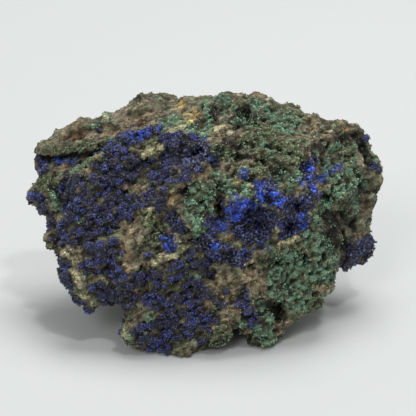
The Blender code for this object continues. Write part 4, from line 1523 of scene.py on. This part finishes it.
@dataclass
class MalachiteMoss(CrustPlanter):
    """The malachite: mossy grains and nodules of sea-green."""

    seed: int = 202
    least_amount: float = 0.45
    paleness: dict[str, float] = field(
        default_factory=lambda: {"malachite_crust_centre": 1.2, "malachite_crust_shoulder": 0.8}
    )
    mineral = "malachite"
    crust_word = "moss"
    stray_name = "malachite_tufts"
    GRAINS = Crop(Grain.crumb(), 0.2, 0.5, (0.24, 0.52), (0.2, 0.5), 0.1, 0.35)
    NODULES = Crop(Grain.nodule(), 0.15, 0.4, (0.26, 0.5), (0.26, 0.5), 0.1, 0.35)

    def colour(self, growth: Growth, roots: np.ndarray, owner: str) -> None:
        """Colours each grain paler along the ridges, and more olive away from the malachite.

        Args:
            growth: the grains, whose colours are replaced.
            roots: the skin's vertices they grow from.
            owner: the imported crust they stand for, or '' for none.
        """
        count = len(roots)
        palette = Palette()
        leafy = self.skin.fields[Mineral.MALACHITE][roots] + 0.5 * Noise.LEAF_TONES.at(growth.roots)
        leafy = ramp(leafy, 0.2, 0.8)[:, None]
        pale = self.skin.web[roots] + self.chance.normal(0, 0.25, count)
        pale = ramp(pale, -0.4, 1.4)[:, None]
        clean = linear(*palette.olive) * (1 - leafy) + linear(*palette.sea) * leafy
        own = self.chance.uniform(0.45, 1.2, (count, 1))
        fresh = (linear(*palette.pine) * (1 - pale) + clean * pale) * own
        # painted light: grains lighter on the tips, with painted shade in crevices and hollows
        growth.tints = fresh * self.skin.tip_light_and_crevice_shade[roots][:, None] * self.paleness.get(owner, 1.0)

    def pieces(self, material: bpy.types.Material) -> list[bpy.types.Object]:
        """Grows every malachite piece, one for each packed crust and one for the stray tufts.

        Args:
            material: their finish.

        Returns:
            The pieces.
        """
        skin = self.skin
        bare = skin.fields[Mineral.AZURITE] < 0.5
        green = skin.fields[Mineral.MALACHITE] * bare
        likely = np.where(green > self.least_amount, 0.15 + 1.1 * skin.web, 0)
        mossy = skin.fields[Mineral.MOSS] * bare > self.least_amount
        likely = np.maximum(likely, np.where(mossy, 1.3 * (skin.web - 0.3), 0))
        which = np.flatnonzero(self.chance.random(len(green)) < likely)
        return self.planted(which, material)

    def sown(self, owner: str, mine: np.ndarray) -> Crops:
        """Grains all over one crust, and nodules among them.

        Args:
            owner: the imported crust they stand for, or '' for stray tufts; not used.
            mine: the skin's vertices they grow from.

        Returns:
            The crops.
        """
        some = mine[self.chance.random(len(mine)) < 0.4]
        return ((mine, self.GRAINS), (some, self.NODULES))


@dataclass(frozen=True)
class Fleck:
    """A colour that the crumbs drawn between these two shares take on, and how much of it."""

    least: float
    most: float
    tint: tuple[float, float, float]
    strength: float


@dataclass
class EarthCrumbs(Planter):
    """The limonite's crumbs: earthy grains all over the bare rock."""

    seed: int = 303
    share_front: float = 0.5
    share_back: float = 0.3
    CRUMBS = Crop(Grain.crumb(), 0.2, 0.3, (0.3, 0.8), (0.16, 0.4), 0.12, 0.15)
    FLECKS = (
        Fleck(0.00, 0.16, (112, 146, 116), 0.6),
        Fleck(0.16, 0.21, (190, 182, 150), 0.5),
        Fleck(0.21, 0.25, (150, 112, 70), 0.5),
    )

    def pieces(self, material: bpy.types.Material) -> list[bpy.types.Object]:
        """Grows the crumbs of the front and of the back.

        Args:
            material: their finish.

        Returns:
            The two pieces.
        """
        skin = self.skin
        bare = np.maximum(skin.fields[Mineral.AZURITE], skin.fields[Mineral.MALACHITE]) < 0.4
        which = np.flatnonzero(bare & (skin.skin.points[:, 2] > 0.4))
        share = np.where(skin.front[which] > IN_VIEW, self.share_front, self.share_back)
        which = which[self.chance.random(len(which)) < share * skin.detail[which]]
        front = skin.front[which] > IN_VIEW
        made = []
        for name, mine in (("earth_crumbs_front", which[front]), ("earth_crumbs_back", which[~front])):
            mesh = self.grown(name, "", ((mine, self.CRUMBS),))
            made.append(hand_over(mesh, material, "limonite"))
        return made

    def colour(self, growth: Growth, roots: np.ndarray, owner: str) -> None:
        """Makes some crumbs darker, paler, green or creamy.

        Args:
            growth: the crumbs, whose colours are changed.
            roots: the skin's vertices they grow from; not used.
            owner: always '', because crumbs stand for no crust; not used.
        """
        count = len(growth.roots)
        own = np.clip(1 + self.chance.normal(0, 0.42, (count, 1)), 0.3, 2.1)
        tints = growth.tints * own * np.where(self.chance.random((count, 1)) < 0.15, 0.45, 1.0)
        drawn = self.chance.random(count) + 0.12 * Noise.CRUMB_TONES.at(growth.roots)
        for fleck in self.FLECKS:
            share = fleck.strength * ((drawn > fleck.least) & (drawn < fleck.most))[:, None]
            tints = tints * (1 - share) + linear(*fleck.tint) * share
        growth.tints = tints


class Wiring:
    """Small helpers that wire up a material's nodes."""

    def __init__(self, name: str) -> None:
        """Starts a material with one Principled shader.

        Args:
            name: the material's name.
        """
        self.material = bpy.data.materials.new(name)
        self.material.use_nodes = True
        self.tree = self.material.node_tree
        self.shader = self.tree.nodes["Principled BSDF"]

    def node(self, kind: str, **inputs: object) -> bpy.types.Node:
        """A new node.

        Args:
            kind: its type.
            inputs: a value or a socket for each named input.

        Returns:
            The node.
        """
        node = self.tree.nodes.new(kind)
        for name, value in inputs.items():
            self.feed(node.inputs[name.replace("_", " ")], value)
        return node

    def feed(self, socket: bpy.types.NodeSocket, value: object) -> None:
        """Links a socket to an output, or sets it to a value.

        Args:
            socket: the input.
            value: the output or the value.
        """
        if isinstance(value, bpy.types.NodeSocket):
            self.tree.links.new(value, socket)
        else:
            socket.default_value = value

    def stored(self, name: str, output: str) -> bpy.types.NodeSocket:
        """What the mesh stores under a name.

        Args:
            name: the name.
            output: which form of it is wanted.

        Returns:
            The output that gives it.
        """
        node = self.tree.nodes.new("ShaderNodeAttribute")
        node.attribute_name = name
        return node.outputs[output]

    def grains(self, per_metre: float, detail: float) -> bpy.types.NodeSocket:
        """Fine three-dimensional noise.

        Args:
            per_metre: how many swellings it has in a metre.
            detail: how many finer layers it has.

        Returns:
            The noise, from 0 to 1.
        """
        place = self.tree.nodes.new("ShaderNodeTexCoord").outputs["Object"]
        noise = self.node("ShaderNodeTexNoise", Vector=place, Scale=per_metre, Detail=detail)
        return noise.outputs["Fac"]

    def stretched(
        self, value: bpy.types.NodeSocket, low: float, high: float
    ) -> bpy.types.NodeSocket:
        """A value from 0 to 1, moved to run from low to high.

        Args:
            value: the value.
            low: what 0 becomes.
            high: what 1 becomes.

        Returns:
            The moved value.
        """
        node = self.tree.nodes.new("ShaderNodeMapRange")
        self.feed(node.inputs["Value"], value)
        node.inputs["To Min"].default_value = low
        node.inputs["To Max"].default_value = high
        return node.outputs["Result"]

    def times(
        self, colour: bpy.types.NodeSocket, factor: bpy.types.NodeSocket
    ) -> bpy.types.NodeSocket:
        """A colour made lighter or darker.

        Args:
            colour: the colour.
            factor: how many times lighter it gets.

        Returns:
            The new colour.
        """
        node = self.tree.nodes.new("ShaderNodeVectorMath")
        node.operation = "SCALE"
        self.feed(node.inputs[0], colour)
        self.feed(node.inputs["Scale"], factor)
        return node.outputs["Vector"]

    def bumped(self, height: bpy.types.NodeSocket, distance: float, strength: float) -> None:
        """Roughens the shader's surface by a height.

        Args:
            height: the height, from 0 to 1.
            distance: the depth in metres that 1 stands for.
            strength: how much of it shows.
        """
        bump = self.node("ShaderNodeBump", Height=height, Distance=distance, Strength=strength)
        self.feed(self.shader.inputs["Normal"], bump.outputs["Normal"])


@dataclass(frozen=True)
class EarthFinish:
    """Dull earthy rock: the stored colour, broken up by fine grain."""

    name: str
    grain_per_metre: float = 2600.0
    darkest: float = 0.35
    lightest: float = 1.8
    smoothest: float = 0.62
    roughest: float = 0.98
    depth: float = 0.00022
    gleam: float = 0.35

    def made(self) -> bpy.types.Material:
        """The finish as a material.

        Returns:
            The material.
        """
        wiring = Wiring(self.name)
        fine = wiring.grains(self.grain_per_metre, 3.0)
        coarse = wiring.grains(self.grain_per_metre * 0.35, 2.0)
        factor = wiring.stretched(fine, self.darkest, self.lightest)
        colour = wiring.times(wiring.stored("tint", "Color"), factor)
        wiring.feed(wiring.shader.inputs["Base Color"], colour)
        wiring.feed(
            wiring.shader.inputs["Roughness"], wiring.stretched(coarse, self.smoothest, self.roughest)
        )
        wiring.shader.inputs["Specular IOR Level"].default_value = self.gleam
        wiring.bumped(fine, self.depth, 0.8)
        return wiring.material


@dataclass(frozen=True)
class CrystalFinish:
    """Glassy azurite: deep blue, sharper in gloss on some crystals than on others."""

    name: str
    dullest: float = 0.42
    glassiest: float = 0.06
    bend: float = 1.73
    gleam: float = 0.5
    speckle_per_metre: float = 3500.0
    depth: float = 0.00006

    def made(self) -> bpy.types.Material:
        """The finish as a material.

        Returns:
            The material.
        """
        wiring = Wiring(self.name)
        fine = wiring.grains(self.speckle_per_metre, 2.0)
        factor = wiring.stretched(fine, 0.7, 1.3)
        colour = wiring.times(wiring.stored("tint", "Color"), factor)
        wiring.feed(wiring.shader.inputs["Base Color"], colour)
        gloss = wiring.stretched(wiring.stored("gloss", "Fac"), self.dullest, self.glassiest)
        wiring.feed(wiring.shader.inputs["Roughness"], gloss)
        wiring.shader.inputs["IOR"].default_value = self.bend
        wiring.shader.inputs["Specular IOR Level"].default_value = self.gleam
        wiring.bumped(fine, self.depth, 0.4)
        return wiring.material


@dataclass
class Studio:
    """The pale floor that sweeps up behind, the soft lamps and the camera."""

    floor_reach: float = 1.6
    sweep_start: float = 0.55
    sweep_radius: float = 0.5
    floor_colour: tuple[float, float, float] = (201, 203, 201)
    lens: float = 151.0
    sensor: float = 36.0

    def lay_floor(self) -> None:
        """Makes one smooth sheet: flat under the specimen, curving up behind it."""
        profile = [(-self.floor_reach, 0.0), (self.sweep_start, 0.0)]
        for step in range(1, 25):
            angle = math.pi / 2 * step / 24
            profile.append((
                self.sweep_start + self.sweep_radius * math.sin(angle),
                self.sweep_radius * (1 - math.cos(angle)),
            ))
        profile.append((self.sweep_start + self.sweep_radius, 2.4))
        corners = [(side * 2.0, y, z) for y, z in profile for side in (-1, 1)]
        faces = [(2 * i, 2 * i + 1, 2 * i + 3, 2 * i + 2) for i in range(len(profile) - 1)]
        mesh = bpy.data.meshes.new("studio_floor")
        mesh.from_pydata(corners, [], faces)
        mesh.shade_smooth()
        wiring = Wiring("pale_paper")
        wiring.shader.inputs["Base Color"].default_value = (*linear(*self.floor_colour), 1)
        wiring.shader.inputs["Roughness"].default_value = 0.9
        wiring.shader.inputs["Specular IOR Level"].default_value = 0.1
        mesh.materials.append(wiring.material)
        floor = bpy.data.objects.new("studio_floor", mesh)
        bpy.context.scene.collection.objects.link(floor)

    def lamp(self, name: str, place: tuple[float, float, float], size: float, power: float) -> None:
        """Hangs a square soft lamp that faces the specimen.

        Args:
            name: its name.
            place: where it hangs, in metres.
            size: its side in metres.
            power: its power in watts.
        """
        light = bpy.data.lights.new(name, "AREA")
        light.shape = "SQUARE"
        light.size = size
        light.energy = power
        lamp = bpy.data.objects.new(name, light)
        lamp.location = place
        aim = Vector(place) - Vector((0, 0, 0.02))
        lamp.rotation_mode = "QUATERNION"
        lamp.rotation_quaternion = aim.to_track_quat("Z", "Y")
        bpy.context.scene.collection.objects.link(lamp)

    def light(self) -> None:
        """Hangs the lamps and sets the soft light of the room."""
        self.lamp("overhead", (0.12, 0.35, 1.0), 0.6, 8.8)
        self.lamp("window", (-0.35, -0.9, 0.7), 0.35, 3.4)
        self.lamp("sparkle", (0.2, -0.3, 0.8), 0.08, 1.4)
        world = bpy.data.worlds.new("room")
        bpy.context.scene.world = world
        world.use_nodes = True
        world.node_tree.nodes["Background"].inputs["Color"].default_value = (0.94, 0.97, 1.0, 1)
        world.node_tree.nodes["Background"].inputs["Strength"].default_value = 0.42

    def set_camera(self) -> None:
        """Sets the camera where the chart is drawn from."""
        scene = bpy.context.scene
        camera = bpy.data.cameras.new("camera")
        camera.sensor_width = self.sensor
        camera.lens = self.lens
        camera.clip_start = 0.01
        holder = bpy.data.objects.new("camera", camera)
        holder.location = Vector(LeaningFrame.eye() * MM)
        holder.rotation_mode = "QUATERNION"
        holder.rotation_quaternion = Vector(-LeaningFrame.AXES[2]).to_track_quat("Z", "Y")
        scene.collection.objects.link(holder)
        scene.camera = holder
        scene.view_settings.view_transform = "Standard"

    def build(self) -> None:
        """Sets up everything round the specimen."""
        self.lay_floor()
        self.light()
        self.set_camera()


def main() -> None:
    """Builds the specimen and its studio."""
    logging.basicConfig(level=logging.INFO, format="%(name)s: %(message)s")
    rock = RockSkin()
    rock.build()
    rock.dress(EarthFinish("limonite_earth").made())
    AzuriteDruse(rock).pieces(CrystalFinish("azurite_glass").made())
    MalachiteMoss(rock).pieces(EarthFinish("malachite_velvet", gleam=0.45).made())
    EarthCrumbs(rock).pieces(EarthFinish("limonite_crumb").made())
    Studio().build()


if __name__ == "__main__":
    main()
